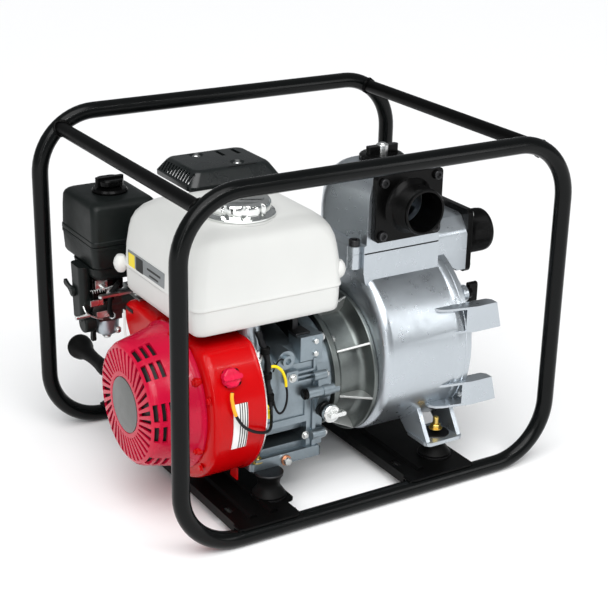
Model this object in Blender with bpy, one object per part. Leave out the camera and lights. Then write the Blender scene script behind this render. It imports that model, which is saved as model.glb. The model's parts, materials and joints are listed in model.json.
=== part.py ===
"""Gas engine trash pump in a tube roll cage, built as separate named pieces.

Sizes are in millimetres; finish() turns each mesh into metres and sets its origin.
+X runs from the recoil starter to the pump inlet, +Y away from the discharge port, +Z up.
The origin is the centre of the footprint, level with the bottom of the cage tubes.
"""
import math

import bmesh
import bpy
from mathutils import Matrix, Vector

MM = 0.001
GAP = 0.3                       # clearance left between neighbouring pieces

# Roll cage
CAGE_LENGTH = 584.0
CAGE_WIDTH = 431.0
CAGE_HEIGHT = 472.2
TUBE_RADIUS = 11.1
BEND_RADIUS = 80.0
BAR_RADIUS = 9.5
ENGINE_BAR_X = -251.0
PUMP_BAR_X = 240.5
POST_X = CAGE_LENGTH / 2 - TUBE_RADIUS
LOOP_Y = CAGE_WIDTH / 2 - TUBE_RADIUS
TOP_TUBE_Z = CAGE_HEIGHT - TUBE_RADIUS

# Cross members and rubber mounts
SHEET = 2.9
MEMBER_BOTTOM_Z = 2 * TUBE_RADIUS + GAP
MEMBER_TOP_Z = MEMBER_BOTTOM_Z + SHEET
MEMBER_LIP_Z = 12.0
ENGINE_MEMBER_X = (-202.0, -116.0)
PUMP_MEMBER_X = (55.0, 157.0)
MOUNT_RADIUS = 24.0
ENGINE_MOUNTS = {"near": (-128.0, -150.0), "far": (-128.0, 12.0)}
PUMP_MOUNTS = {"near": (128.0, -160.0), "far": (128.0, 40.0)}

# Engine: the crank axis runs along X
CRANK_Y = -72.0
CRANK_Z = 158.4
SHAFT_RADIUS = 12.0
STROKE = 54.0
BORE_RADIUS = 34.0
CYLINDER_X = -100.0
CYLINDER_TILT = math.radians(25)
CASE_X = (-150.0, -60.0)
BASE_Z = 60.4
BASE_TOP_Z = 70.4
SIDE_COVER_X = (CASE_X[1] + GAP, -33.0)
PTO_RADIUS = 78.0
DECK = 91.7                     # distance from the crank axis to the cylinder deck
HEAD_START = 150.3
HEAD_END = 185.0
OIL_CAP_X = -44.0
OIL_CAP_Z = 127.0
OIL_NECK_END_Y = -159.0

# Cooling and starter
BLOWER_X = (-225.0, -152.3)
BLOWER_RADIUS = 112.0
BLOWER_TOP_Z = 243.0
RECOIL_RADIUS = 95.0
RECOIL_FACE_X = -291.8
GRIP_X = -248.0
GRIP_Z = 137.4
GRIP_Y = (78.0, 178.0)
REEL_RADIUS = 28.0
SWITCH_ANGLE = math.radians(151)
SWITCH_X = -196.0

# Fuel and air
TANK_X = (-232.0, -20.0)
TANK_Y = (-150.0, 58.0)
TANK_Z = (260.4, 386.4)
TANK_SEAM_Z = 296.4
FUEL_CAP_XY = (-134.0, -78.0)
FUEL_CAP_RADIUS = 47.0
CLEANER_X = (-262.0, -165.0)
CLEANER_Y = (78.0, 189.0)
CLEANER_Z = (278.4, 311.0, 368.4)
CLEANER_CORNER = 9.0
CLEANER_NUT_XY = (-212.0, 133.0)
ELBOW_LOW = (-272.0, 102.0, 197.0)
ELBOW_HIGH_XY = (-254.3, 138.0)
CARB_X = -228.0
CARB_Y = 120.0
CARB_Z = 215.0
INTAKE_PORT_Y = 100.0
BOWL_RADIUS = 17.0
BOWL_Z = (170.0, 196.4)
FUEL_VALVE_Z = 185.0
CHOKE_YZ = (124.0, 240.0)
THROTTLE_XY = (-205.0, 68.0)
MUFFLER_LOW = (-85.0, 76.0, 285.0)
MUFFLER_HIGH = (-8.0, 164.0, 376.0)
EXHAUST_PORT_XY = (-66.0, 90.0)
GUARD_LOW = (-128.0, 62.0, 372.0)
GUARD_HIGH = (12.0, 172.0, 397.0)

# Pump
DRUM_Y = -60.0
DRUM_Z = 180.4
DRUM_RADIUS = 127.0
DRUM_X = (23.0, 160.0)
BAND_X = 142.0
DRUM_WALL = 5.0
PARTITION_X = (114.0, 120.0)      # wall between the outlet room and the inlet room
VOLUTE_RADIUS = 70.0
FOOT_Z = 58.6
ARM_Z = ((209.0, 245.0), (103.0, 137.0))
ARM_OUT = 130.0                 # from the drum axis to the outer face of a clamp arm
ARM_IN = 112.0
ARM_END_X = 204.0
NECK_X = (20.0, 138.0)
NECK_Y = (-131.0, 8.0)
NECK_START_Z = 258.5            # just over the adapter's rim
NECK_TOP_Z = 322.0
LUG_XY = (13.0, -118.0)
DISCHARGE_TOP_Z = 423.0
PORT_RADIUS = 30.15             # outside of a 2 inch pipe thread
PORT_BORE = 26.0
DISCHARGE_XZ = (80.0, 382.4)
DISCHARGE_END_Y = -176.0
SUCTION_YZ = (-72.0, 303.0)
SUCTION_FACE_X = 196.0
INLET_FLOOR_Z = 285.0           # over the cover's rim
INLET_ROOF_Z = 343.0
FLAP_RADIUS = 23.5
SUCTION_END_X = 255.0
SUCTION_PLATE = ((-117.0, 262.5), (-27.0, 351.0))
COVER_FLANGE_RADIUS = 102.0
EAR_ANGLE = math.radians(37)
EAR_DISTANCE = 116.0
PRIMING_XY = (87.0, -65.0)

COLOURS = {
    "black_paint": ((0.012, 0.012, 0.013), 0.25, 0.0),
    "black_plastic": ((0.02, 0.02, 0.02), 0.5, 0.0),
    "rubber": ((0.015, 0.015, 0.015), 0.8, 0.0),
    "red": ((0.55, 0.01, 0.02), 0.3, 0.0),
    "tank_white": ((0.82, 0.81, 0.77), 0.3, 0.0),
    "cast_aluminium": ((0.62, 0.65, 0.68), 0.4, 0.9),
    "steel": ((0.5, 0.5, 0.5), 0.35, 1.0),
    "chrome": ((0.85, 0.85, 0.85), 0.12, 1.0),
    "zinc": ((0.75, 0.58, 0.2), 0.35, 0.9),
    "rope": ((0.8, 0.8, 0.76), 0.9, 0.0),
}

PLANES = {"X": (1, 2, 0), "Y": (0, 2, 1), "Z": (0, 1, 2)}


# ---------------------------------------------------------------- tools

def clear_scene():
    for old in list(bpy.data.objects):
        bpy.data.objects.remove(old, do_unlink=True)


def make_materials():
    materials = {}
    for name, (colour, roughness, metallic) in COLOURS.items():
        made = bpy.data.materials.new(name)
        made.use_nodes = True
        shader = made.node_tree.nodes["Principled BSDF"]
        shader.inputs["Base Color"].default_value = (*colour, 1.0)
        shader.inputs["Roughness"].default_value = roughness
        shader.inputs["Metallic"].default_value = metallic
        materials[name] = made
    return materials


def spot(axis, across, up, along):
    """A point given in the plane square to an axis, and its distance along that axis."""
    point = [0.0, 0.0, 0.0]
    first, second, third = PLANES[axis]
    point[first], point[second], point[third] = across, up, along
    return Vector(point)


def to_object(bm):
    bmesh.ops.recalc_face_normals(bm, faces=bm.faces)
    mesh = bpy.data.meshes.new("piece")
    bm.to_mesh(mesh)
    bm.free()
    piece = bpy.data.objects.new("piece", mesh)
    bpy.context.scene.collection.objects.link(piece)
    return piece


def skin(rings, closed):
    """Join rings of points with quads; open ends get a cap."""
    bm = bmesh.new()
    rows = [[bm.verts.new(point) for point in ring] for ring in rings]
    count = len(rows[0])
    pairs = list(zip(rows, rows[1:]))
    if closed:
        pairs.append((rows[-1], rows[0]))
    for low, high in pairs:
        for k in range(count):
            n = (k + 1) % count
            bm.faces.new((low[k], low[n], high[n], high[k]))
    if not closed:
        bm.faces.new(rows[0])
        bm.faces.new(rows[-1])
    return to_object(bm)


def prism(outline, axis, low, high):
    return skin([[spot(axis, a, b, t) for a, b in outline] for t in (low, high)], closed=False)


def block(low, high):
    corners = [(low[0], low[1]), (high[0], low[1]), (high[0], high[1]), (low[0], high[1])]
    return prism(corners, "Z", low[2], high[2])


def turned(profile, axis, centre=(0.0, 0.0), steps=24):
    """Turn a closed (radius, distance) profile about an axis through a centre."""
    bm = bmesh.new()
    rings = []
    for radius, along in profile:
        count = steps if radius > 0 else 1
        ring = []
        for k in range(count):
            angle = 2 * math.pi * (k + 0.5) / steps
            across = centre[0] + radius * math.cos(angle)
            up = centre[1] + radius * math.sin(angle)
            ring.append(bm.verts.new(spot(axis, across, up, along)))
        rings.append(ring)
    for first, second in zip(rings, rings[1:] + rings[:1]):
        if len(first) == 1 and len(second) == 1:
            continue
        for k in range(steps):
            n = (k + 1) % steps
            corner_places = ((first, k), (first, n), (second, n), (second, k))
            corners = [ring[i % len(ring)] for ring, i in corner_places]
            bm.faces.new(list(dict.fromkeys(corners)))
    return to_object(bm)


def rod(radius, axis, centre, low, high, steps=16):
    return turned([(0, low), (radius, low), (radius, high), (0, high)], axis, centre, steps)


def ring_profile(inner, outer, low, high):
    return [(inner, low), (outer, low), (outer, high), (inner, high)]


def rounded_rectangle(low, high, radius, arc_steps=4):
    centres = [(high[0] - radius, high[1] - radius), (low[0] + radius, high[1] - radius),
               (low[0] + radius, low[1] + radius), (high[0] - radius, low[1] + radius)]
    points = []
    for quarter, (a, b) in enumerate(centres):
        for k in range(arc_steps + 1):
            angle = math.pi / 2 * (quarter + k / arc_steps)
            points.append((a + radius * math.cos(angle), b + radius * math.sin(angle)))
    return points


def swept(path, radius, sides=8, closed=False, side_way=Vector((0, 1, 0))):
    """A round tube along a path, with flats rather than edges at its lowest and widest lines."""
    path = [Vector(point) for point in path]
    reach = radius / math.cos(math.pi / sides)
    last = len(path) - 1
    rings = []
    for i, centre in enumerate(path):
        before = path[i - 1] if i or closed else path[0]
        after = path[(i + 1) % len(path)] if i < last or closed else path[last]
        ahead = (after - before).normalized()
        across = (side_way - side_way.dot(ahead) * ahead).normalized()
        up = ahead.cross(across)
        turns = [2 * math.pi * (k + 0.5) / sides for k in range(sides)]
        rings.append([centre + reach * (math.cos(a) * across + math.sin(a) * up) for a in turns])
    return skin(rings, closed)


def combine(target, tool, operation):
    modifier = target.modifiers.new("combine", "BOOLEAN")
    modifier.operation = operation
    modifier.solver = "EXACT"
    modifier.object = tool
    graph = bpy.context.evaluated_depsgraph_get()
    target_mesh = bpy.data.meshes.new_from_object(target.evaluated_get(graph))
    target.modifiers.clear()
    target.data = target_mesh
    bpy.data.objects.remove(tool, do_unlink=True)


def join(target, *tools):
    for tool in tools:
        combine(target, tool, "UNION")
    return target


def cut(target, *tools):
    for tool in tools:
        combine(target, tool, "DIFFERENCE")
    return target


def moved(piece, matrix):
    piece.data.transform(matrix)
    return piece


def finish(piece, name, material_name, pivot=(0.0, 0.0, 0.0)):
    """Name a piece, put its origin on its pivot, and turn its size into metres."""
    pivot = Vector(pivot)
    piece.data.transform(Matrix.Translation(-pivot))
    piece.data.transform(Matrix.Scale(MM, 4))
    piece.location = pivot * MM
    piece.name = name
    piece.data.name = name
    piece.data.materials.clear()
    piece.data.materials.append(MATERIALS[material_name])
    piece.data.shade_smooth()
    piece.data.set_sharp_from_angle(angle=math.radians(35))
    piece.parent = WHOLE
    return piece


# ---------------------------------------------------------------- roll cage

def cage():
    outline = rounded_rectangle((-POST_X, TUBE_RADIUS), (POST_X, TOP_TUBE_Z), BEND_RADIUS, 5)
    for name, y in (("near_loop", -LOOP_Y), ("far_loop", LOOP_Y)):
        loop = swept([(x, y, z) for x, z in outline], TUBE_RADIUS, sides=12, closed=True)
        finish(loop, name, "black_paint")
    bend_x = POST_X - BEND_RADIUS
    bend_z = TOP_TUBE_Z - BEND_RADIUS
    bar_end = LOOP_Y - TUBE_RADIUS - GAP
    for name, x in (("engine_cross_bar", ENGINE_BAR_X), ("pump_cross_bar", PUMP_BAR_X)):
        z = bend_z + math.sqrt(BEND_RADIUS ** 2 - (abs(x) - bend_x) ** 2)
        finish(rod(BAR_RADIUS, "Y", (x, z), -bar_end, bar_end, 12), name, "black_paint")


def cross_member(name, edges, tab_y=None):
    """A pressed channel with a stiffening ridge, its ends lying on the bottom tubes."""
    left, right = edges
    ridge = left + 22.0
    ridge_width = 12.0
    ridge_top = MEMBER_TOP_Z + 4.0
    section = [(left, MEMBER_LIP_Z), (left + SHEET, MEMBER_LIP_Z), (left + SHEET, MEMBER_BOTTOM_Z),
               (right - SHEET, MEMBER_BOTTOM_Z), (right - SHEET, MEMBER_LIP_Z), (right, MEMBER_LIP_Z),
               (right, MEMBER_TOP_Z), (ridge + ridge_width, MEMBER_TOP_Z),
               (ridge + ridge_width - 3, ridge_top), (ridge + 3, ridge_top),
               (ridge, MEMBER_TOP_Z), (left, MEMBER_TOP_Z)]
    inner_end = LOOP_Y - TUBE_RADIUS - 1.0
    outer_end = LOOP_Y + 7.0
    member = prism(section, "Y", -inner_end, inner_end)
    join(member, block((left, -outer_end, MEMBER_BOTTOM_Z), (right, outer_end, MEMBER_TOP_Z)))
    for y in tab_y or ():
        join(member, block((right - 5, y - MOUNT_RADIUS - 2, MEMBER_BOTTOM_Z),
                           (right + 13, y + MOUNT_RADIUS + 2, MEMBER_TOP_Z)))
    return finish(member, name, "black_paint")


def rubber_mount(name, centre, top):
    low = MEMBER_TOP_Z + GAP
    profile = [(0, low), (MOUNT_RADIUS, low), (MOUNT_RADIUS, low + 5), (15, low + 12),
               (15, top - 10), (19, top - 6), (19, top), (0, top)]
    finish(turned(profile, "Z", centre, 12), name, "rubber")


def chassis():
    cross_member("engine_cross_member", ENGINE_MEMBER_X, [y for x, y in ENGINE_MOUNTS.values()])
    cross_member("pump_cross_member", PUMP_MEMBER_X)
    for side, centre in ENGINE_MOUNTS.items():
        rubber_mount("engine_mount_" + side, centre, BASE_Z - GAP)
    for side, centre in PUMP_MOUNTS.items():
        rubber_mount("pump_mount_" + side, centre, FOOT_Z - GAP)


# ---------------------------------------------------------------- engine block

def from_crank(along, across):
    """The (y, z) of a place given along and square to the tilted cylinder axis."""
    y = CRANK_Y + along * math.cos(CYLINDER_TILT) - across * math.sin(CYLINDER_TILT)
    z = CRANK_Z + along * math.sin(CYLINDER_TILT) + across * math.cos(CYLINDER_TILT)
    return y, z


def on_cylinder(piece):
    """Move a piece made about the Z axis onto the tilted cylinder axis."""
    tilt = Matrix.Rotation(CYLINDER_TILT - math.pi / 2, 4, "X")
    return moved(piece, Matrix.Translation((CYLINDER_X, CRANK_Y, CRANK_Z)) @ tilt)


def crankcase():
    case_outline = [(30, BASE_TOP_Z - 4), from_crank(DECK, -44), from_crank(DECK, 40),
                    (-60, 226), (-118, 214), (-140, 196), (-140, BASE_TOP_Z - 4)]
    case = prism(case_outline, "X", *CASE_X)
    join(case, block((-151.5, -145, BASE_Z), (-45, 37, BASE_TOP_Z)))
    room = [(20, 80), (20, 150), from_crank(DECK - 10, -33), from_crank(DECK - 10, 30),
            (-62, 214), (-114, 204), (-130, 190), (-130, 80)]
    cut(case, prism(room, "X", CASE_X[0] + 8, CASE_X[1] + 5))
    cut(case, rod(SHAFT_RADIUS + GAP, "X", (CRANK_Y, CRANK_Z), CASE_X[0] - 5, CASE_X[0] + 15))
    cut(case, on_cylinder(rod(BORE_RADIUS + 2, "Z", (0, 0), DECK - 30, DECK + 5, 24)))
    finish(case, "crankcase", "cast_aluminium")


def side_cover():
    outline = [(8, 74), (8, 190), (-10, 210), (-120, 210), (-138, 196), (-138, 74)]
    cover = prism(outline, "X", SIDE_COVER_X[0], SIDE_COVER_X[1] - 9)
    join(cover, rod(PTO_RADIUS, "X", (CRANK_Y, CRANK_Z), *SIDE_COVER_X, 32))
    join(cover, rod(10, "Y", (OIL_CAP_X, OIL_CAP_Z), OIL_NECK_END_Y, -120, 16))
    cut(cover, rod(SHAFT_RADIUS + GAP, "X", (CRANK_Y, CRANK_Z), SIDE_COVER_X[0] - 5, SIDE_COVER_X[1] + 5))
    finish(cover, "crankcase_side_cover", "cast_aluminium")


def cylinder():
    comb = [(39, DECK + GAP)]
    for fin in range(6):
        low = 97 + 9 * fin
        comb += [(39, low), (50, low), (50, low + 3), (39, low + 3)]
    comb.append((39, HEAD_START - GAP))
    comb += [(-x, t) for x, t in reversed(comb)]
    barrel = prism(comb, "Y", -36, 38)
    cut(barrel, rod(BORE_RADIUS, "Z", (0, 0), DECK - 5, HEAD_START + 5, 24))
    finish(on_cylinder(barrel), "cylinder_barrel", "cast_aluminium")

    head = block((-50, -33, HEAD_START), (50, 36, HEAD_END))
    for groove in (HEAD_START + 9, HEAD_START + 18):
        cut(head, block((-60, 26, groove), (60, 40, groove + 5)))
    finish(on_cylinder(head), "cylinder_head", "cast_aluminium")

    cover = block((-44, -20, HEAD_END + GAP), (44, 20, 212))
    cut(cover, block((-40, -16, HEAD_END - 5), (40, 16, 208)))
    finish(on_cylinder(cover), "valve_cover", "cast_aluminium")

    plug_profile = [(0, HEAD_END + GAP), (10, HEAD_END + GAP), (10, HEAD_END + 8), (6, HEAD_END + 10),
                    (6, HEAD_END + 26), (3, HEAD_END + 28), (3, HEAD_END + 36), (0, HEAD_END + 36)]
    plug = turned(plug_profile, "Z", (-14, 31), 12)
    finish(on_cylinder(plug), "spark_plug", "steel")

    outer = BORE_RADIUS - GAP
    crown = 149
    piston = turned([(outer - 5, crown - 45), (outer, crown - 45), (outer, crown), (0, crown),
                     (0, crown - 8), (outer - 5, crown - 8)], "Z", (0, 0), 24)
    finish(on_cylinder(piston), "piston", "cast_aluminium")


def rotor():
    axis = (CRANK_Y, CRANK_Z)
    web = 42
    shaft = turned([(0, -226), (SHAFT_RADIUS, -226), (SHAFT_RADIUS, -122), (web, -122), (web, -108),
                    (0, -108)], "X", axis, 16)
    drive_end = turned([(0, -92), (web, -92), (web, -78), (SHAFT_RADIUS, -78), (SHAFT_RADIUS, 20),
                        (10, 24), (10, 88), (0, 88)], "X", axis, 16)
    join(shaft, rod(14, "X", from_crank(STROKE / 2, 0), -113, -87, 12), drive_end)
    finish(shaft, "crankshaft", "steel", (0, *axis))

    wheel_profile = [(SHAFT_RADIUS + GAP, -214), (30, -214), (30, -196), (78, -190), (78, -168),
                     (68, -168), (68, -180), (30, -184), (30, -172), (SHAFT_RADIUS + GAP, -172)]
    wheel = turned(wheel_profile, "X", axis, 24)
    for k in range(8):
        blade = block((-213, -2, 34), (-188, 2, 76))
        turn = Matrix.Translation((0, *axis)) @ Matrix.Rotation(2 * math.pi * k / 8, 4, "X")
        join(wheel, moved(blade, turn))
    finish(wheel, "flywheel", "cast_aluminium", (0, *axis))

    hub_profile = [(0, 88 + GAP), (10 + GAP, 88 + GAP), (10 + GAP, 60), (18, 60), (18, 84), (58, 86),
                   (58, 91), (16, 94), (0, 98)]
    impeller = turned(hub_profile, "X", axis, 24)
    for k in range(4):
        vane = block((87, -4, 12), (110, 4, 56))
        turn = Matrix.Translation((0, *axis)) @ Matrix.Rotation(math.pi / 2 * k, 4, "X")
        join(impeller, moved(vane, turn))
    finish(impeller, "impeller", "cast_aluminium", (0, *axis))


def engine_trim():
    seat = OIL_NECK_END_Y
    cap = rod(12, "Y", (OIL_CAP_X, OIL_CAP_Z), seat - 8, seat - GAP, 16)
    join(cap, block((OIL_CAP_X - 6, seat - 13, OIL_CAP_Z - 3), (OIL_CAP_X + 18, seat - 7, OIL_CAP_Z + 3)))
    finish(cap, "oil_filler_cap", "steel", (OIL_CAP_X, seat, OIL_CAP_Z))
    finish(rod(8, "Y", (-100, 66), -153, -145 - GAP, 6), "oil_drain_bolt", "zinc")


# ---------------------------------------------------------------- cooling and starter

def blower_outline(inset):
    """The fan scroll: round below and on the near side, flat on top, ducted to the cylinder."""
    radius = BLOWER_RADIUS - inset
    top = BLOWER_TOP_Z - inset
    start = math.asin((top - CRANK_Z) / radius)
    points = [(62 - inset, top), (80 - 1.5 * inset, 226 - inset / 2), (58 - inset, 188)]
    steps = 22
    for k in range(steps + 1):
        angle = -(math.pi + start) * k / steps
        points.append((CRANK_Y + radius * math.cos(angle), CRANK_Z + radius * math.sin(angle)))
    return points


def blower():
    housing = prism(blower_outline(0), "X", *BLOWER_X)
    cut(housing, prism(blower_outline(3), "X", BLOWER_X[0] + 3, BLOWER_X[1] + 5))
    cut(housing, rod(80, "X", (CRANK_Y, CRANK_Z), BLOWER_X[0] - 5, BLOWER_X[0] + 10, 32))
    finish(housing, "blower_housing", "red")


def recoil_cover():
    axis = (CRANK_Y, CRANK_Z)
    seat = BLOWER_X[0] - GAP
    face = RECOIL_FACE_X
    profile = [(RECOIL_RADIUS, seat), (RECOIL_RADIUS, seat - 4), (92, seat - 8), (78, face + 9),
               (73, face + 3), (36, face), (0, face), (0, face + 3), (36, face + 3), (70, face + 6),
               (74, face + 11), (88, seat - 6), (88, seat)]
    cover = turned(profile, "X", axis, 24)
    join(cover, rod(5.5, "X", axis, face + 2, -233, 12))
    slots = 12
    for k in range(slots):
        slot = block((face - 3, -4, 44), (face + 9, 4, 66))
        turn = Matrix.Translation((0, *axis)) @ Matrix.Rotation(2 * math.pi * k / slots, 4, "X")
        cut(cover, moved(slot, turn))
    join(cover, rod(12, "Y", (GRIP_X, GRIP_Z), 9.5, 44, 12))
    cut(cover, rod(4, "Y", (GRIP_X, GRIP_Z), -5, 50, 8))
    finish(cover, "recoil_cover", "red")


def starter():
    reel_profile = [(6, -262), (50, -262), (50, -259), (REEL_RADIUS, -257), (REEL_RADIUS, -241),
                    (50, -239), (50, -236), (6, -236)]
    finish(turned(reel_profile, "X", (CRANK_Y, CRANK_Z), 24), "starter_reel", "black_plastic",
           (0, CRANK_Y, CRANK_Z))
    low, high = GRIP_Y
    grip_profile = [(0, low), (8, low), (10.5, low + 6), (9, low + 40), (11, low + 76), (17, high - 16),
                    (17.5, high - 8), (14, high - 1.5), (6, high), (0, high)]
    finish(turned(grip_profile, "Y", (GRIP_X, GRIP_Z), 16), "recoil_grip", "black_plastic",
           (GRIP_X, low, GRIP_Z))
    finish(rod(2, "Y", (GRIP_X, GRIP_Z), 7, low - GAP, 8), "starter_rope", "rope", (GRIP_X, low, GRIP_Z))


def engine_switch():
    out = Vector((0, math.cos(SWITCH_ANGLE), math.sin(SWITCH_ANGLE)))
    seat = Vector((SWITCH_X, CRANK_Y, CRANK_Z)) + out * (BLOWER_RADIUS + GAP)
    knob = rod(10, "Z", (0, 0), 0, 8, 16)
    join(knob, block((-9, -2.5, 7), (9, 2.5, 12)))
    turn = out.to_track_quat("Z", "Y").to_matrix().to_4x4()
    moved(knob, Matrix.Translation(seat) @ turn)
    finish(knob, "engine_switch_knob", "red", seat)
    route = [(-199, -181, 199), (-201, -184, 193), (-201, -186.5, 186), (-200, -188.3, 178),
             (-197.5, -189.4, 170), (-193.5, -190, 162.5), (-188, -190, 155), (-181, -190, 149),
             (-173, -189.7, 144), (-164, -189, 140.2), (-155, -187, 137.5), (-147, -182, 136.3),
             (-140, -174, 136.2), (-134.5, -165.5, 137.3), (-129.5, -157, 140), (-126, -150.5, 145.5),
             (-124, -146, 152), (-123, -144, 160), (-124, -143, 168)]
    finish(swept(route, 2, sides=8, side_way=Vector((1, 0.3, 0))), "switch_wire", "rubber")


# ---------------------------------------------------------------- fuel and air

def loft_rings(x_range, y_range, levels, corner):
    """Rounded rectangles stacked up Z, each inset by its own amount."""
    rings = []
    for z, inset in levels:
        low = (x_range[0] + inset, y_range[0] + inset)
        high = (x_range[1] - inset, y_range[1] - inset)
        rings.append([(x, y, z) for x, y in rounded_rectangle(low, high, corner)])
    return rings


def fuel_tank():
    bottom, top = TANK_Z
    seam = TANK_SEAM_Z
    levels = [(bottom, 7), (bottom + 5, 3), (seam - 3, 2), (seam - 2, 0), (seam + 2, 0), (seam + 3, 1),
              (top - 36, 4), (top - 20, 10), (top - 10, 18), (top - 3, 30), (top, 44)]
    tank = skin(loft_rings(TANK_X, TANK_Y, levels, 14), closed=False)
    wall = 3.0
    inner = [(bottom + wall, 12), (seam, 6), (top - 40, 8), (top - 14, 21), (top - wall, 46)]
    cut(tank, skin(loft_rings(TANK_X, TANK_Y, inner, 10), closed=False))
    cut(tank, rod(24, "Z", FUEL_CAP_XY, top - 20, top + 5, 20))
    finish(tank, "fuel_tank", "tank_white")

    seat = top + GAP
    rim = FUEL_CAP_RADIUS
    cap_profile = [(20, top - 12), (23, top - 12), (23, seat), (rim, seat), (rim, seat + 4),
                   (rim - 6, seat + 6), (rim - 6, seat + 18), (rim - 10, seat + 21), (0, seat + 21),
                   (0, seat + 18), (20, seat + 18)]
    finish(turned(cap_profile, "Z", FUEL_CAP_XY, 24), "fuel_cap", "chrome", (*FUEL_CAP_XY, top))


def air_cleaner():
    floor, seam, top = CLEANER_Z
    wall = 3.0
    radius = CLEANER_CORNER
    low = (CLEANER_X[0], CLEANER_Y[0])
    high = (CLEANER_X[1], CLEANER_Y[1])
    inner_low = (low[0] + wall, low[1] + wall)
    inner_high = (high[0] - wall, high[1] - wall)
    case = prism(rounded_rectangle(low, high, radius), "Z", floor, seam)
    cut(case, prism(rounded_rectangle(inner_low, inner_high, radius - wall), "Z", floor + wall, seam + 5))
    finish(case, "air_cleaner_case", "black_plastic")

    levels = [(seam + GAP, 0), (top - 14, 2), (top - 4, 6), (top, 12)]
    cover = skin(loft_rings(CLEANER_X, CLEANER_Y, levels, radius), closed=False)
    hollow = [(seam - 5, 3), (top - 14, 5), (top - wall, 12)]
    cut(cover, skin(loft_rings(CLEANER_X, CLEANER_Y, hollow, radius - wall), closed=False))
    finish(cover, "air_cleaner_cover", "black_plastic")

    element = prism(rounded_rectangle((-244, 94), (-181, 169), 12), "Z", floor + wall + GAP, top - 8)
    cut(element, prism(rounded_rectangle((-234, 104), (-191, 159), 6), "Z", floor, top - 20))
    finish(element, "air_filter_element", "rope")

    seat = top + GAP
    nut = rod(24, "Z", CLEANER_NUT_XY, seat, seat + 7, 20)
    join(nut, block((CLEANER_NUT_XY[0] - 19, CLEANER_NUT_XY[1] - 4, seat + 6),
                    (CLEANER_NUT_XY[0] + 19, CLEANER_NUT_XY[1] + 4, seat + 20)))
    finish(nut, "air_cleaner_nut", "black_plastic", (*CLEANER_NUT_XY, top))

    elbow = block(ELBOW_LOW, (*ELBOW_HIGH_XY, floor - GAP))
    duct_x = (ELBOW_LOW[0] + ELBOW_HIGH_XY[0]) / 2
    cut(elbow, rod(13, "X", (CARB_Y, CARB_Z), duct_x - 2, ELBOW_HIGH_XY[0] + 5, 12))
    cut(elbow, rod(6, "Z", (duct_x, CARB_Y), CARB_Z, floor + 5, 12))
    finish(elbow, "intake_elbow", "black_plastic")


def carburetor():
    start = ELBOW_HIGH_XY[0] + GAP
    flange = (-194.0, -186.0)
    body = rod(17, "X", (CARB_Y, CARB_Z), start, flange[1] - 1, 16)
    join(body, block((CARB_X - 16, CARB_Y - 16, BOWL_Z[1] + GAP), (CARB_X + 16, CARB_Y + 16, 236.5)))
    join(body, block((flange[0], INTAKE_PORT_Y - 16, 196), (flange[1], CARB_Y + 18, 234)))
    join(body, rod(14, "X", (INTAKE_PORT_Y, CARB_Z), flange[0] + 2, CASE_X[0] - GAP, 16))
    cut(body, rod(11, "X", (CARB_Y, CARB_Z), start - 5, flange[1] - 4, 12))
    cut(body, rod(9, "X", (INTAKE_PORT_Y + 3, CARB_Z), flange[1] - 4.5, CASE_X[0] + 5, 12))
    finish(body, "carburetor", "cast_aluminium")
    low, high = BOWL_Z
    bowl_profile = [(0, low), (6, low), (6, low + 3), (BOWL_RADIUS - 3, low + 4), (BOWL_RADIUS, low + 8),
                    (BOWL_RADIUS, high), (0, high)]
    finish(turned(bowl_profile, "Z", (CARB_X, CARB_Y), 20), "float_bowl", "cast_aluminium")


def lever(thickness_x, pivot_yz, length, angle, width=7.0):
    """A flat lever in a YZ plane: a round boss with one arm."""
    low, high = thickness_x
    boss = rod(width, "X", (0, 0), low, high, 12)
    arm = block((low, 0, -width / 2), (high, length, width / 2))
    join(boss, arm)
    turn = Matrix.Translation((0, *pivot_yz)) @ Matrix.Rotation(angle, 4, "X")
    return moved(boss, turn)


def controls():
    valve_x = CARB_X - BOWL_RADIUS
    fuel_lever = lever((valve_x - 7, valve_x - GAP), (CARB_Y, FUEL_VALVE_Z), 20, math.radians(-90))
    finish(fuel_lever, "fuel_valve_lever", "black_plastic", (valve_x, CARB_Y, FUEL_VALVE_Z))
    elbow_face = ELBOW_LOW[0]
    choke = lever((elbow_face - 5, elbow_face - GAP), CHOKE_YZ, 26, math.radians(20))
    finish(choke, "choke_lever", "black_plastic", (elbow_face, *CHOKE_YZ))

    pivot = THROTTLE_XY
    plate_top = BLOWER_TOP_Z + GAP + 3
    bracket = block((-216, 40, BLOWER_TOP_Z + GAP), (-194, 78, plate_top))
    join(bracket, rod(4, "Z", pivot, plate_top - 1, plate_top + 6, 12))
    finish(bracket, "throttle_bracket", "steel")
    arm_low = plate_top + GAP
    arm = rod(9, "Z", pivot, arm_low, arm_low + 3, 16)
    join(arm, block((pivot[0] - 56, pivot[1] - 4, arm_low), (pivot[0], pivot[1] + 4, arm_low + 3)))
    cut(arm, rod(4 + GAP, "Z", pivot, arm_low - 5, arm_low + 8, 12))
    finish(arm, "throttle_lever", "steel", (*pivot, plate_top))


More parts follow.
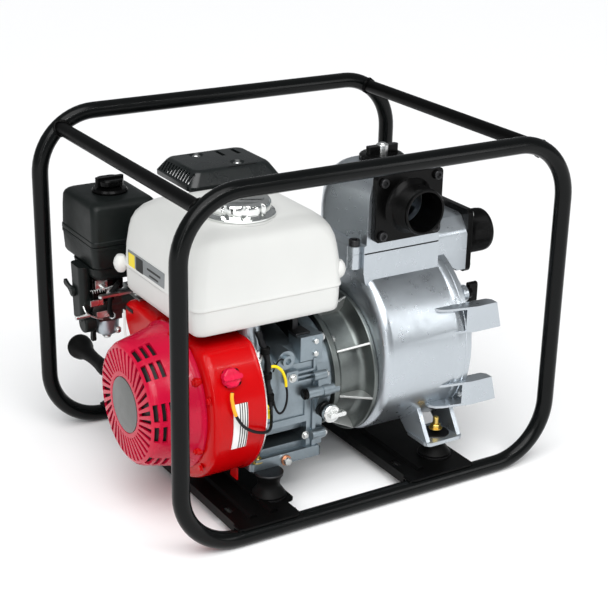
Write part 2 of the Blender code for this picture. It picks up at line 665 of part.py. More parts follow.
def exhaust():
    low, high = MUFFLER_LOW, MUFFLER_HIGH
    wall = 2.0
    muffler = prism(rounded_rectangle(low[:2], high[:2], 18), "Z", low[2], high[2])
    join(muffler, rod(12, "Z", EXHAUST_PORT_XY, 269.6, low[2] + 5, 12))
    inner_low = (low[0] + wall, low[1] + wall)
    inner_high = (high[0] - wall, high[1] - wall)
    cut(muffler, prism(rounded_rectangle(inner_low, inner_high, 16), "Z", low[2] + wall, high[2] - wall))
    cut(muffler, rod(9, "Z", EXHAUST_PORT_XY, 265, low[2] + 15, 12))
    finish(muffler, "muffler", "steel")

    low, high = GUARD_LOW, GUARD_HIGH
    levels = [(low[2], 0), (low[2] + 7, 0), (high[2] - 3, 10), (high[2], 15)]
    guard = skin(loft_rings((low[0], high[0]), (low[1], high[1]), levels, 12), closed=False)
    hollow = [(low[2] - 5, 3), (low[2] + 7, 3), (high[2] - 4, 13)]
    cut(guard, skin(loft_rings((low[0], high[0]), (low[1], high[1]), hollow, 9), closed=False))
    louvres = 6
    for k in range(louvres):
        y = low[1] + 20 + k * 13
        cut(guard, block((low[0] - 5, y, low[2] + 9), (low[0] + 14, y + 5, high[2] - 7)))
    finish(guard, "muffler_guard", "black_plastic")


# ---------------------------------------------------------------- pump

def clamp_arm(z_range, side):
    """Two fins and the web between them, running forward past the cover."""
    low, high = z_range
    plate = 3.0
    nearest = min(abs(low - DRUM_Z), abs(high - DRUM_Z))
    root = math.sqrt(100 ** 2 - nearest ** 2)
    outline = [(102, 116), (112, 120), (152, ARM_OUT), (ARM_END_X, ARM_OUT), (ARM_END_X, ARM_IN),
               (161, ARM_IN), (157, root), (102, root)]
    outline = [(x, DRUM_Y + side * out) for x, out in outline]
    arm = prism(outline, "Z", low, high)
    hole_y = sorted((DRUM_Y + side * (ARM_OUT - plate), DRUM_Y))
    cut(arm, block((90, hole_y[0], low + plate), (ARM_END_X + 9, hole_y[1], high - plate)))
    return arm


def foot(side_y):
    plate = block((95, side_y - 26, FOOT_Z), (157, side_y + 26, FOOT_Z + 5))
    inward = 1 if side_y < DRUM_Y else -1
    web = [(side_y - 25 * inward, FOOT_Z + 2), (side_y + 25 * inward, FOOT_Z + 2),
           (side_y + 40 * inward, FOOT_Z + 14), (side_y + 30 * inward, 120), (side_y + 6 * inward, 100),
           (side_y - 14 * inward, 74)]
    join(plate, prism(web, "X", 150, 156), prism(web, "X", 98, 104))
    return plate


def pump_body():
    centre = (DRUM_Y, DRUM_Z)
    rear, front = DRUM_X
    radius = DRUM_RADIUS
    outside = [(0, rear), (radius - 9, rear), (radius - 3, rear + 3), (radius, rear + 9), (radius, BAND_X),
               (radius + 1.5, BAND_X + 1.5), (radius + 1.5, front - 2), (radius - 0.5, front), (0, front)]
    body = turned(outside, "X", centre, 36)
    join(body, block((NECK_X[0], NECK_Y[0], NECK_START_Z), (NECK_X[1], NECK_Y[1], NECK_TOP_Z)))
    join(body, rod(9, "Z", LUG_XY, NECK_TOP_Z - 20, NECK_TOP_Z, 16))
    near, far = SUCTION_YZ[0] - 45, SUCTION_YZ[0] + 45
    roof = [(near, 271), (near, 320), (near + 18, INLET_ROOF_Z), (far - 18, INLET_ROOF_Z), (far, 320),
            (far, 271)]
    inlet = prism(roof, "X", NECK_X[1] + 0.6, SUCTION_FACE_X)
    wall = 2.0
    under = [(front - 2, 250), (front - 2, INLET_FLOOR_Z - wall), (front + 6, INLET_FLOOR_Z - wall),
             (front + 7.5, 276), (front + 21, 270), (front + 21, 250)]
    cut(inlet, prism(under, "Y", near - 5, far + 5))
    join(body, inlet)
    for z_range in ARM_Z:
        for side in (-1, 1):
            join(body, clamp_arm(z_range, side))
    for x, y in PUMP_MOUNTS.values():
        join(body, foot(y))

    inner = radius - DRUM_WALL
    room = [(0, rear + 6), (inner - 8, rear + 6), (inner, rear + 14), (inner, PARTITION_X[0]),
            (0, PARTITION_X[0])]
    cut(body, turned(room, "X", centre, 36))
    front_room = [(0, PARTITION_X[1]), (inner, PARTITION_X[1]), (inner, front - 10), (96, front - 10),
                  (96, front + 5), (0, front + 5)]
    cut(body, turned(front_room, "X", centre, 36))
    cut(body, rod(VOLUTE_RADIUS + GAP, "X", (CRANK_Y, CRANK_Z), PARTITION_X[0] - 5, PARTITION_X[1] + 5, 24))
    cut(body, block((NECK_X[0] + 8, NECK_Y[0] + 8, 270), (NECK_X[1] - 16, NECK_Y[1] - 8, NECK_TOP_Z + 5)))
    inside_x = SUCTION_FACE_X - 4
    chamber = [(NECK_X[1] + 6, INLET_FLOOR_Z), (front + 5.5, INLET_FLOOR_Z), (front + 9.5, 279),
               (front + 16, 276), (inside_x, 274.5), (inside_x, INLET_ROOF_Z - 5),
               (NECK_X[1] + 6, INLET_ROOF_Z - 5)]
    cut(body, prism(chamber, "Y", near + 15, far - 15))
    cut(body, rod(FLAP_RADIUS - 1.5, "X", SUCTION_YZ, SUCTION_FACE_X - 8, SUCTION_FACE_X + 5, 20))
    cut(body, rod(14, "X", (CRANK_Y, CRANK_Z), rear - 5, rear + 12, 20))
    finish(body, "pump_body", "cast_aluminium")


def pump_adapter():
    axis = (CRANK_Y, CRANK_Z)
    low = SIDE_COVER_X[1] + GAP
    high = DRUM_X[0] - GAP
    profile = [(70, low), (82, low), (82, low + 9), (76, low + 12), (76, high - 7), (99, high - 6),
               (99, high), (66, high)]
    adapter = turned(profile, "X", axis, 24)
    gussets = 8
    for k in range(gussets):
        rib = prism([(low + 11, 73), (low + 11, 77), (high - 5, 98), (high - 5, 73)], "Y", -2.5, 2.5)
        turn = Matrix.Translation((0, *axis)) @ Matrix.Rotation(2 * math.pi * (k + 0.3) / gussets, 4, "X")
        join(adapter, moved(rib, turn))
    finish(adapter, "pump_adapter", "cast_aluminium")


def pump_inside():
    axis = (CRANK_Y, CRANK_Z)
    low = DRUM_X[0] + 6 + GAP
    outer = VOLUTE_RADIUS
    face = PARTITION_X[1]
    shell = [(outer - 4, low), (outer, low), (outer, face), (25, face), (25, face - 4), (outer - 4, face - 4)]
    volute = turned(shell, "X", axis, 24)
    cut(volute, block((60, CRANK_Y - 20, CRANK_Z + 50), (108, CRANK_Y + 20, CRANK_Z + 80)))
    finish(volute, "inner_volute", "cast_aluminium")
    finish(turned(ring_profile(10 + GAP, 20, low, 52), "X", axis, 20), "shaft_seal", "rubber")

    x, y, z = SUCTION_FACE_X - 4 - GAP, *SUCTION_YZ
    flap = rod(FLAP_RADIUS, "X", (y, z), x - 3, x, 24)
    join(flap, block((x - 3, y - 14, z + 20), (x, y + 14, z + 31)))
    finish(flap, "suction_flap", "rubber", (x - 1.5, y, z + 31))


def pump_cover():
    centre = (DRUM_Y, DRUM_Z)
    seat = DRUM_X[1] + GAP
    profile = [(COVER_FLANGE_RADIUS, seat), (COVER_FLANGE_RADIUS, seat + 5), (94, seat + 5.5), (84, 194),
               (78, 198), (0, 198), (0, 194), (76, 194), (80, 190), (90, seat + 2), (90, seat)]
    cover = turned(profile, "X", centre, 28)
    for name, y, z in clamp_places():
        join(cover, rod(11, "X", (y, z), seat, seat + 8, 12))
        angle = math.atan2(z - DRUM_Z, y - DRUM_Y)
        turn = Matrix.Translation((0, *centre)) @ Matrix.Rotation(angle, 4, "X")
        join(cover, moved(block((seat + 0.7, 91, -9.5), (seat + 6.6, EAR_DISTANCE, 9.5)), turn))
    finish(cover, "pump_cover", "cast_aluminium")
    for name, y, z in clamp_places():
        knob = rod(9, "X", (y, z), seat + 8 + GAP, seat + 16, 12)
        join(knob, block((seat + 15, y - 4, z - 14), (seat + 27, y + 4, z + 14)))
        finish(knob, name, "black_plastic", (seat + 8, y, z))
    plug = rod(12, "X", (DRUM_Y, 112), 198 + GAP, 204, 16)
    join(plug, block((203, DRUM_Y - 6, 106), (213, DRUM_Y + 6, 118)))
    finish(plug, "pump_drain_plug", "steel", (198, DRUM_Y, 112))


def clamp_places():
    """The four clamp knobs: a name, and its place across and up."""
    places = []
    for side_name, side in (("near", -1), ("far", 1)):
        for level_name, level in (("upper", 1), ("lower", -1)):
            y = DRUM_Y + side * EAR_DISTANCE * math.cos(EAR_ANGLE)
            z = DRUM_Z + level * EAR_DISTANCE * math.sin(EAR_ANGLE)
            places.append((f"clamp_knob_{level_name}_{side_name}", y, z))
    return places


def discharge():
    low = NECK_TOP_Z + GAP
    outline = [(NECK_X[0], NECK_Y[0]), (NECK_X[1], NECK_Y[0])]
    corner = 36.0
    for k in range(6):
        angle = math.pi / 2 * k / 5
        outline.append((NECK_X[1] - corner + corner * math.cos(angle),
                        NECK_Y[1] - corner + corner * math.sin(angle)))
    for k in range(6):
        angle = math.pi / 2 * (1 + k / 5)
        outline.append((NECK_X[0] + corner + corner * math.cos(angle),
                        NECK_Y[1] - corner + corner * math.sin(angle)))
    casting = prism(outline, "Z", low, DISCHARGE_TOP_Z)
    join(casting, rod(9, "Z", LUG_XY, low, low + 10, 16))
    middle = ((NECK_X[0] + NECK_X[1]) / 2, (NECK_Y[0] + NECK_Y[1]) / 2)
    wall = 8.0
    inside = []
    for x, y in outline:
        inside.append((x + wall * (1 if x < middle[0] else -1), y + wall * (1 if y < middle[1] else -1)))
    cut(casting, prism(inside, "Z", low - 5, DISCHARGE_TOP_Z - wall))
    cut(casting, rod(PORT_BORE, "Y", DISCHARGE_XZ, NECK_Y[0] - 5, NECK_Y[0] + 15, 24))
    cut(casting, rod(24, "Z", PRIMING_XY, DISCHARGE_TOP_Z - 15, DISCHARGE_TOP_Z + 5, 20))
    finish(casting, "discharge_casting", "cast_aluminium")

    x, z = DISCHARGE_XZ
    seat = NECK_Y[0] - GAP
    plate = prism(rounded_rectangle((x - 51, z - 44), (x + 51, z + 44), 6, 2), "Y", seat - 10, seat)
    join(plate, rod(PORT_RADIUS, "Y", (x, z), DISCHARGE_END_Y, seat - 5, 32))
    cut(plate, rod(PORT_BORE, "Y", (x, z), DISCHARGE_END_Y - 5, seat + 5, 24))
    finish(plate, "discharge_flange", "black_plastic")

    seat = DISCHARGE_TOP_Z + GAP
    cap_profile = [(0, seat - 12), (21, seat - 12), (21, seat), (30, seat), (30, seat + 7), (27, seat + 9),
                   (0, seat + 9)]
    cap = turned(cap_profile, "Z", PRIMING_XY, 24)
    join(cap, block((PRIMING_XY[0] - 24, PRIMING_XY[1] - 5, seat + 8),
                    (PRIMING_XY[0] + 24, PRIMING_XY[1] + 5, seat + 22)))
    finish(cap, "priming_cap", "black_plastic", (*PRIMING_XY, DISCHARGE_TOP_Z))


def suction():
    seat = SUCTION_FACE_X + GAP
    plate = prism(rounded_rectangle(*SUCTION_PLATE, 8, 2), "X", seat, seat + 8)
    join(plate, rod(PORT_RADIUS, "X", SUCTION_YZ, seat + 4, SUCTION_END_X, 32))
    cut(plate, rod(PORT_BORE, "X", SUCTION_YZ, seat - 5, SUCTION_END_X + 5, 24))
    finish(plate, "suction_flange", "black_plastic")


clear_scene()
MATERIALS = make_materials()
WHOLE = bpy.data.objects.new("trash_pump", None)
bpy.context.scene.collection.objects.link(WHOLE)
cage()
chassis()
crankcase()
side_cover()
cylinder()
rotor()
engine_trim()
blower()
recoil_cover()
starter()
engine_switch()
fuel_tank()
air_cleaner()
carburetor()
controls()
exhaust()
pump_adapter()
pump_body()
pump_inside()
pump_cover()
discharge()
suction()
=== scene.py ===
"""Looks of a gas engine trash pump in a tube roll cage, built around its CAD frame.

Shapes are worked in millimetres and turned into metres by piece(). +X runs from the recoil
starter to the pump inlet, +Y away from the discharge port, +Z up.
"""
import json
import math

import bmesh
import bpy
from mathutils import Matrix, Vector


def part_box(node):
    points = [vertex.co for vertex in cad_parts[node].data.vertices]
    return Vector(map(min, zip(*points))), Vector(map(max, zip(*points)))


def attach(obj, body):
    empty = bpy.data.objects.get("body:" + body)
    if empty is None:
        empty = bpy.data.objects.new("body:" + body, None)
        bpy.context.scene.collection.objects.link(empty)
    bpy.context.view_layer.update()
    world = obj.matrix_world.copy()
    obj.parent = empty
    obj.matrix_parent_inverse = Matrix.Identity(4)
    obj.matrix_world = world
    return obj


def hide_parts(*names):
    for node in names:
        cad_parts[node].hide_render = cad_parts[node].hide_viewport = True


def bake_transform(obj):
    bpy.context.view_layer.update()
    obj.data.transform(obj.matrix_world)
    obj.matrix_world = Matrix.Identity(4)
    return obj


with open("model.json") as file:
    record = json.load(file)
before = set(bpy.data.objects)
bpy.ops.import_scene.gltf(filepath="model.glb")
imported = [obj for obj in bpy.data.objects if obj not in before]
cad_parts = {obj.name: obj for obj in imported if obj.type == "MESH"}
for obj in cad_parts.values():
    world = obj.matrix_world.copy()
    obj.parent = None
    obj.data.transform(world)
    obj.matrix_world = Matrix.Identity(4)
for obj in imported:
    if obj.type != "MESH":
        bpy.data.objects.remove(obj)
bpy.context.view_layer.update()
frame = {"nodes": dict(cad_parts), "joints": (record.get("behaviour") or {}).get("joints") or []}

MM = 0.001
TAU = 2 * math.pi
PLANES = {"X": (1, 2, 0), "Y": (0, 2, 1), "Z": (0, 1, 2)}

# Camera: where the product is seen from
CAMERA_PLACE = (-0.9613, -1.5633, 0.93808)
CAMERA_AZIMUTH = math.radians(-31.93)
CAMERA_ELEVATION = math.radians(21.55)
CAMERA_ROLL = math.radians(1.27)
CAMERA_LENS = 85.49

# Dimensions shared with the CAD parts
BEND_RADIUS = 80.0
ENGINE_MEMBER_X = (-202.0, -116.0)
PUMP_MEMBER_X = (55.0, 157.0)
CYLINDER_TILT = math.radians(25)
CYLINDER_X = -100.0
DECK = 91.7
SWITCH_ANGLE = math.radians(151)
NECK_X = (20.0, 138.0)
NECK_Y = (-131.0, 8.0)
LUG_XY = (13.0, -118.0)


def span(node):
    """Lowest and highest corner of a CAD node in millimetres."""
    low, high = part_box(node)
    return low / MM, high / MM


def pivot(joint):
    """A joint's place in millimetres."""
    return Vector(next(j["pos_m"] for j in frame["joints"] if j["name"] == joint)) / MM


CRANK = pivot("crank_spin")


# ---------------------------------------------------------------- mesh tools

def spot(axis, across, up, along):
    """A point given in the plane square to an axis, and its distance along that axis."""
    point = [0.0, 0.0, 0.0]
    first, second, third = PLANES[axis]
    point[first], point[second], point[third] = across, up, along
    return Vector(point)


def to_object(bm):
    bmesh.ops.recalc_face_normals(bm, faces=bm.faces)
    mesh = bpy.data.meshes.new("shape")
    bm.to_mesh(mesh)
    bm.free()
    shape = bpy.data.objects.new("shape", mesh)
    bpy.context.scene.collection.objects.link(shape)
    return shape


def skin(rings, closed=False):
    """Join rings of points with quads; open ends get a cap."""
    bm = bmesh.new()
    rows = [[bm.verts.new(point) for point in ring] for ring in rings]
    count = len(rows[0])
    pairs = list(zip(rows, rows[1:]))
    if closed:
        pairs.append((rows[-1], rows[0]))
    for low, high in pairs:
        for k in range(count):
            n = (k + 1) % count
            bm.faces.new((low[k], low[n], high[n], high[k]))
    if not closed:
        bm.faces.new(rows[0])
        bm.faces.new(rows[-1])
    return to_object(bm)


def prism(outline, axis, low, high):
    return skin([[spot(axis, a, b, t) for a, b in outline] for t in (low, high)])


def block(low, high):
    corners = [(low[0], low[1]), (high[0], low[1]), (high[0], high[1]), (low[0], high[1])]
    return prism(corners, "Z", low[2], high[2])


def turned(profile, axis, centre=(0.0, 0.0), steps=48, wobble=None):
    """Turn a closed (radius, distance) profile about an axis; wobble scales the radius by angle."""
    bm = bmesh.new()
    rings = []
    for radius, along in profile:
        ring = []
        for k in range(steps if radius > 0 else 1):
            angle = TAU * (k + 0.5) / steps
            reach = radius * (wobble(angle, radius) if wobble else 1.0)
            across = centre[0] + reach * math.cos(angle)
            up = centre[1] + reach * math.sin(angle)
            ring.append(bm.verts.new(spot(axis, across, up, along)))
        rings.append(ring)
    for first, second in zip(rings, rings[1:] + rings[:1]):
        if len(first) == 1 and len(second) == 1:
            continue
        for k in range(steps):
            n = (k + 1) % steps
            corners = [ring[i % len(ring)] for ring,
                       i in ((first, k), (first, n), (second, n), (second, k))]
            bm.faces.new(list(dict.fromkeys(corners)))
    return to_object(bm)


def rod(radius, axis, centre, low, high, steps=32, chamfer=0.0):
    """A round bar, its end edges taken off by the chamfer."""
    profile = [(0, low), (radius, low), (radius, high), (0, high)]
    if chamfer:
        profile = [(0, low), (radius - chamfer, low), (radius, low + chamfer),
                   (radius, high - chamfer), (radius - chamfer, high), (0, high)]
    return turned(profile, axis, centre, steps)


def rounded_rectangle(low, high, radius, arc_steps=8):
    centres = [(high[0] - radius, high[1] - radius), (low[0] + radius, high[1] - radius),
               (low[0] + radius, low[1] + radius), (high[0] - radius, low[1] + radius)]
    points = []
    for quarter, (a, b) in enumerate(centres):
        for k in range(arc_steps + 1):
            angle = math.pi / 2 * (quarter + k / arc_steps)
            points.append((a + radius * math.cos(angle), b + radius * math.sin(angle)))
    return points


def loft(x_range, y_range, levels, corner, arc_steps=8):
    """Rounded rectangles stacked up Z; each level is (z, inset) or (z, inset, corner radius)."""
    rings = []
    for z, inset, *own in levels:
        low = (x_range[0] + inset, y_range[0] + inset)
        high = (x_range[1] - inset, y_range[1] - inset)
        outline = rounded_rectangle(low, high, own[0] if own else corner, arc_steps)
        rings.append([(x, y, z) for x, y in outline])
    return skin(rings)


def curve_through(route, per_span=8):
    """A smooth line through given points."""
    points = [Vector(p) for p in route]
    ends = [2 * points[0] - points[1]] + points + [2 * points[-1] - points[-2]]
    line = []
    for a, b, c, d in zip(ends, ends[1:], ends[2:], ends[3:]):
        for k in range(per_span):
            t = k / per_span
            line.append(0.5 * (2 * b + (c - a) * t + (2 * a - 5 * b + 4 * c - d) * t ** 2
                               + (3 * b - a - 3 * c + d) * t ** 3))
    return line + [points[-1]]


def swept(path, radius, sides=12, closed=False, swell=None):
    """A round tube along a path, its rings carried along without twist."""
    path = [Vector(point) for point in path]
    last = len(path) - 1
    ahead = []
    for i in range(len(path)):
        before = path[i - 1] if i or closed else path[0]
        after = path[(i + 1) % len(path)] if i < last or closed else path[last]
        ahead.append((after - before).normalized())
    across = ahead[0].orthogonal().normalized()
    if closed:
        across = (path[0] - sum(path, Vector()) / len(path)).cross(ahead[0]).normalized()
    rings = []
    for i, centre in enumerate(path):
        across = (across - across.dot(ahead[i]) * ahead[i]).normalized()
        up = ahead[i].cross(across)
        reach = radius * (swell(i) if swell else 1.0)
        rings.append([centre + reach * (math.cos(a) * across + math.sin(a) * up)
                      for a in (TAU * k / sides for k in range(sides))])
    return skin(rings, closed)


def moved(shape, matrix):
    shape.data.transform(matrix)
    return shape


def shifted(shape, place):
    return moved(shape, Matrix.Translation(place))


def merged(*shapes):
    """Several closed shapes in one mesh."""
    bm = bmesh.new()
    for shape in shapes:
        bm.from_mesh(shape.data)
        bpy.data.objects.remove(shape, do_unlink=True)
    mesh = bpy.data.meshes.new("shape")
    bm.to_mesh(mesh)
    bm.free()
    whole = bpy.data.objects.new("shape", mesh)
    bpy.context.scene.collection.objects.link(whole)
    return whole


def combine(target, tool, operation):
    modifier = target.modifiers.new("combine", "BOOLEAN")
    modifier.operation = operation
    modifier.solver = "EXACT"
    modifier.use_self = operation == "DIFFERENCE"
    modifier.object = tool
    graph = bpy.context.evaluated_depsgraph_get()
    mesh = bpy.data.meshes.new_from_object(target.evaluated_get(graph))
    target.modifiers.clear()
    target.data = mesh
    bpy.data.objects.remove(tool, do_unlink=True)


def join(target, *tools):
    for tool in tools:
        combine(target, tool, "UNION")
    return target


def cut(target, *tools):
    for tool in tools:
        combine(target, tool, "DIFFERENCE")
    return target


def soften(shape, width, segments=3, angle=35):
    """Round the edges, and keep the flats flat in the shading."""
    bevel = shape.modifiers.new("edges", "BEVEL")
    bevel.width = width * MM
    bevel.segments = segments
    bevel.limit_method = "ANGLE"
    bevel.angle_limit = math.radians(angle)
    bevel.use_clamp_overlap = True
    bevel.harden_normals = False
    bevel.miter_outer = "MITER_ARC"
    normals = shape.modifiers.new("normals", "WEIGHTED_NORMAL")
    normals.keep_sharp = True
    return shape


def piece(shape, name, finish, body="frame", nodes=(), bevel=0.0, segments=3, angle=35):
    """Name a shape, turn it into metres and let it ride on a body in place of CAD nodes."""
    shape.data.transform(Matrix.Scale(MM, 4))
    bm = bmesh.new()
    bm.from_mesh(shape.data)
    bmesh.ops.remove_doubles(bm, verts=bm.verts, dist=0.002 * MM)
    bmesh.ops.dissolve_degenerate(bm, edges=bm.edges, dist=0.002 * MM)
    bm.to_mesh(shape.data)
    bm.free()
    shape.name = name
    shape.data.name = name
    shape.data.materials.clear()
    shape.data.materials.append(finish)
    shape.data.shade_smooth()
    shape.data.set_sharp_from_angle(angle=math.radians(60 if bevel else 35))
    if bevel:
        soften(shape, bevel, segments, angle)
    if nodes:
        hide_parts(*nodes)
    if body:
        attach(shape, body)
    return shape


def keep_node(node, finish, bevel=0.0):
    """Show a CAD node as it is, with a better finish and softer edges."""
    shape = frame["nodes"][node]
    shape.data.materials.clear()
    shape.data.materials.append(finish)
    if bevel:
        weld = shape.modifiers.new("weld", "WELD")
        weld.merge_threshold = 0.01 * MM
        soften(shape, bevel, 2)


def hex_bolt(axis, centre, seat, out, radius=5.0, height=4.5, washer=True):
    """A flanged hexagon head standing on a seat; out is the way it points along its axis."""
    turns = 6
    head = turned([(0, seat), (radius, seat), (radius, seat + out * (height - 0.8)),
                   (radius - 0.8, seat + out * height), (0, seat + out * height)], axis, centre, turns)
    if not washer:
        return head
    plate = rod(radius * 1.35, axis, centre, min(seat, seat + out * 1.1), max(seat, seat + out * 1.1),
                24, 0.3)
    return merged(head, plate)


def socket_bolt(axis, centre, seat, out, radius=5.0, height=5.0):
    """A round head with a hexagon hole in it."""
    top = seat + out * height
    head = turned([(0, seat), (radius, seat), (radius, top - out * 0.7), (radius - 0.7, top),
                   (radius * 0.55, top), (radius * 0.5, top - out * 0.6),
                   (radius * 0.5, top - out * height * 0.6), (0, top - out * height * 0.6)], axis,
                  centre, 24)
    return head


def on_cylinder(shape):
    """Move a shape made about the Z axis onto the tilted cylinder axis."""
    tilt = Matrix.Rotation(CYLINDER_TILT - math.pi / 2, 4, "X")
    return moved(shape, Matrix.Translation((CYLINDER_X, CRANK.y, CRANK.z)) @ tilt)


def from_crank(along, across):
    """The (y, z) of a place given along and square to the tilted cylinder axis."""
    y = CRANK.y + along * math.cos(CYLINDER_TILT) - across * math.sin(CYLINDER_TILT)
    z = CRANK.z + along * math.sin(CYLINDER_TILT) + across * math.cos(CYLINDER_TILT)
    return y, z


# ---------------------------------------------------------------- finishes

def base_finish(name, colour, roughness, metallic=0.0, **sockets):
    made = bpy.data.materials.new(name)
    made.use_nodes = True
    shader = made.node_tree.nodes["Principled BSDF"]
    shader.inputs["Base Color"].default_value = (*colour, 1.0)
    shader.inputs["Roughness"].default_value = roughness
    shader.inputs["Metallic"].default_value = metallic
    for socket, value in sockets.items():
        shader.inputs[socket.replace("_", " ")].default_value = value
    return made


def grain(tree, scale, detail=2.0, stretch=(1.0, 1.0, 1.0), kind="ShaderNodeTexNoise"):
    """A noise in the part's own coordinates; its value output."""
    place = tree.nodes.new("ShaderNodeTexCoord")
    mapping = tree.nodes.new("ShaderNodeMapping")
    mapping.inputs["Scale"].default_value = stretch
    texture = tree.nodes.new(kind)
    texture.inputs["Scale"].default_value = scale
    if kind == "ShaderNodeTexNoise":
        texture.inputs["Detail"].default_value = detail
    tree.links.new(place.outputs["Object"], mapping.inputs["Vector"])
    tree.links.new(mapping.outputs["Vector"], texture.inputs["Vector"])
    return texture.outputs[0]


def tinted(made, factor, stops):
    """Colour the surface by a factor through (position, colour) stops."""
    tree = made.node_tree
    ramp = tree.nodes.new("ShaderNodeValToRGB")
    elements = ramp.color_ramp.elements
    while len(elements) < len(stops):
        elements.new(0.5)
    for element, (position, colour) in zip(elements, stops):
        element.position = position
        element.color = (*colour, 1.0)
    tree.links.new(factor, ramp.inputs["Fac"])
    tree.links.new(ramp.outputs["Color"], tree.nodes["Principled BSDF"].inputs["Base Color"])


def rough_between(made, factor, low, high):
    tree = made.node_tree
    spread = tree.nodes.new("ShaderNodeMapRange")
    spread.inputs["To Min"].default_value = low
    spread.inputs["To Max"].default_value = high
    tree.links.new(factor, spread.inputs["Value"])
    tree.links.new(spread.outputs["Result"], tree.nodes["Principled BSDF"].inputs["Roughness"])


def bumped(made, heights):
    """Stack (height output, strength, depth in metres) bumps onto the surface."""
    tree = made.node_tree
    previous = None
    for height, strength, depth in heights:
        bump = tree.nodes.new("ShaderNodeBump")
        bump.inputs["Strength"].default_value = strength
        bump.inputs["Distance"].default_value = depth
        tree.links.new(height, bump.inputs["Height"])
        if previous:
            tree.links.new(previous, bump.inputs["Normal"])
        previous = bump.outputs["Normal"]
    tree.links.new(previous, tree.nodes["Principled BSDF"].inputs["Normal"])


def shade_of(colour, factor):
    return tuple(channel * factor for channel in colour)


def paint(name, colour, gloss=0.22, peel=0.10, coat=0.0, sheen=0.25):
    """Sprayed paint: a faint orange peel and slightly uneven gloss."""
    made = base_finish(name, colour, gloss, Coat_Weight=coat, Coat_Roughness=0.08,
                       Specular_IOR_Level=sheen)
    tree = made.node_tree
    tinted(made, grain(tree, 14, 3), [(0.3, shade_of(colour, 0.88)), (0.7, shade_of(colour, 1.10))])
    rough_between(made, grain(tree, 45, 4), gloss - 0.05, gloss + 0.09)
    bumped(made, [(grain(tree, 420, 2), peel, 0.0004)])
    return made


def moulded(name, colour, gloss=0.45, texture=0.22, sheen=0.3, uneven=0.2):
    """Injection-moulded plastic: a fine spark-eroded texture."""
    made = base_finish(name, colour, gloss, Specular_IOR_Level=sheen)
    tree = made.node_tree
    tinted(made, grain(tree, 22, 4),
           [(0.3, shade_of(colour, 1 - uneven)), (0.7, shade_of(colour, 1 + uneven))])
    rough_between(made, grain(tree, 60, 3), gloss - 0.07, gloss + 0.08)
    bumped(made, [(grain(tree, 1500, 2), texture, 0.0002), (grain(tree, 110, 2), 0.05, 0.0006)])
    return made


def cast_metal(name, colour, gloss=0.42, texture=0.35, mottle=0.12):
    """Die-cast metal: mottled tone, fine pitting and soft waviness."""
    made = base_finish(name, colour, gloss, metallic=0.92)
    tree = made.node_tree
    mix = tree.nodes.new("ShaderNodeMath")
    mix.operation = "MULTIPLY_ADD"
    mix.inputs[1].default_value = 0.35
    tree.links.new(grain(tree, 260, 3), mix.inputs[0])
    tree.links.new(grain(tree, 17, 4), mix.inputs[2])
    tinted(made, mix.outputs[0], [(0.42, shade_of(colour, 1 - mottle)),
                                  (0.92, shade_of(colour, 1 + mottle))])
    rough_between(made, grain(tree, 75, 4), gloss - 0.07, gloss + 0.10)
    bumped(made, [(grain(tree, 900, 3), texture, 0.00025), (grain(tree, 60, 2), 0.10, 0.0010)])
    return made


def machined(name, colour, gloss=0.28, stretch=(1.0, 1.0, 30.0)):
    """Turned or rolled metal: fine lines one way, and a little tarnish."""
    made = base_finish(name, colour, gloss, metallic=1.0)
    tree = made.node_tree
    tinted(made, grain(tree, 40, 4), [(0.3, shade_of(colour, 0.82)), (0.7, shade_of(colour, 1.08))])
    rough_between(made, grain(tree, 90, 3), gloss - 0.06, gloss + 0.12)
    bumped(made, [(grain(tree, 260, 2, stretch), 0.12, 0.0002)])
    return made


def braided(name, colour):
    """A twisted rope: dark lines running round it."""
    made = base_finish(name, colour, 0.85)
    tree = made.node_tree
    place = tree.nodes.new("ShaderNodeTexCoord")
    wave = tree.nodes.new("ShaderNodeTexWave")
    wave.wave_type = "BANDS"
    wave.bands_direction = "DIAGONAL"
    wave.inputs["Scale"].default_value = 260
    tree.links.new(place.outputs["Object"], wave.inputs["Vector"])
    tinted(made, wave.outputs["Fac"], [(0.2, shade_of(colour, 0.45)), (0.7, colour)])
    bumped(made, [(wave.outputs["Fac"], 0.6, 0.0004)])
    return made


def banded(name, axis, pitch, ground, bars, low_cut=0.45):
    """Printed bars across one axis, for a label with no words on it."""
    made = base_finish(name, ground, 0.35)
    tree = made.node_tree
    place = tree.nodes.new("ShaderNodeTexCoord")
    parts = tree.nodes.new("ShaderNodeSeparateXYZ")
    repeat = tree.nodes.new("ShaderNodeMath")
    repeat.operation = "PINGPONG"
    repeat.inputs[1].default_value = pitch * MM
    scaled = tree.nodes.new("ShaderNodeMath")
    scaled.operation = "DIVIDE"
    scaled.inputs[1].default_value = pitch * MM
    tree.links.new(place.outputs["Object"], parts.inputs["Vector"])
    tree.links.new(parts.outputs[axis], repeat.inputs[0])
    tree.links.new(repeat.outputs[0], scaled.inputs[0])
    tinted(made, scaled.outputs[0], [(low_cut, bars), (low_cut + 0.05, ground)])
    bumped(made, [(grain(tree, 300, 2), 0.04, 0.0002)])
    return made


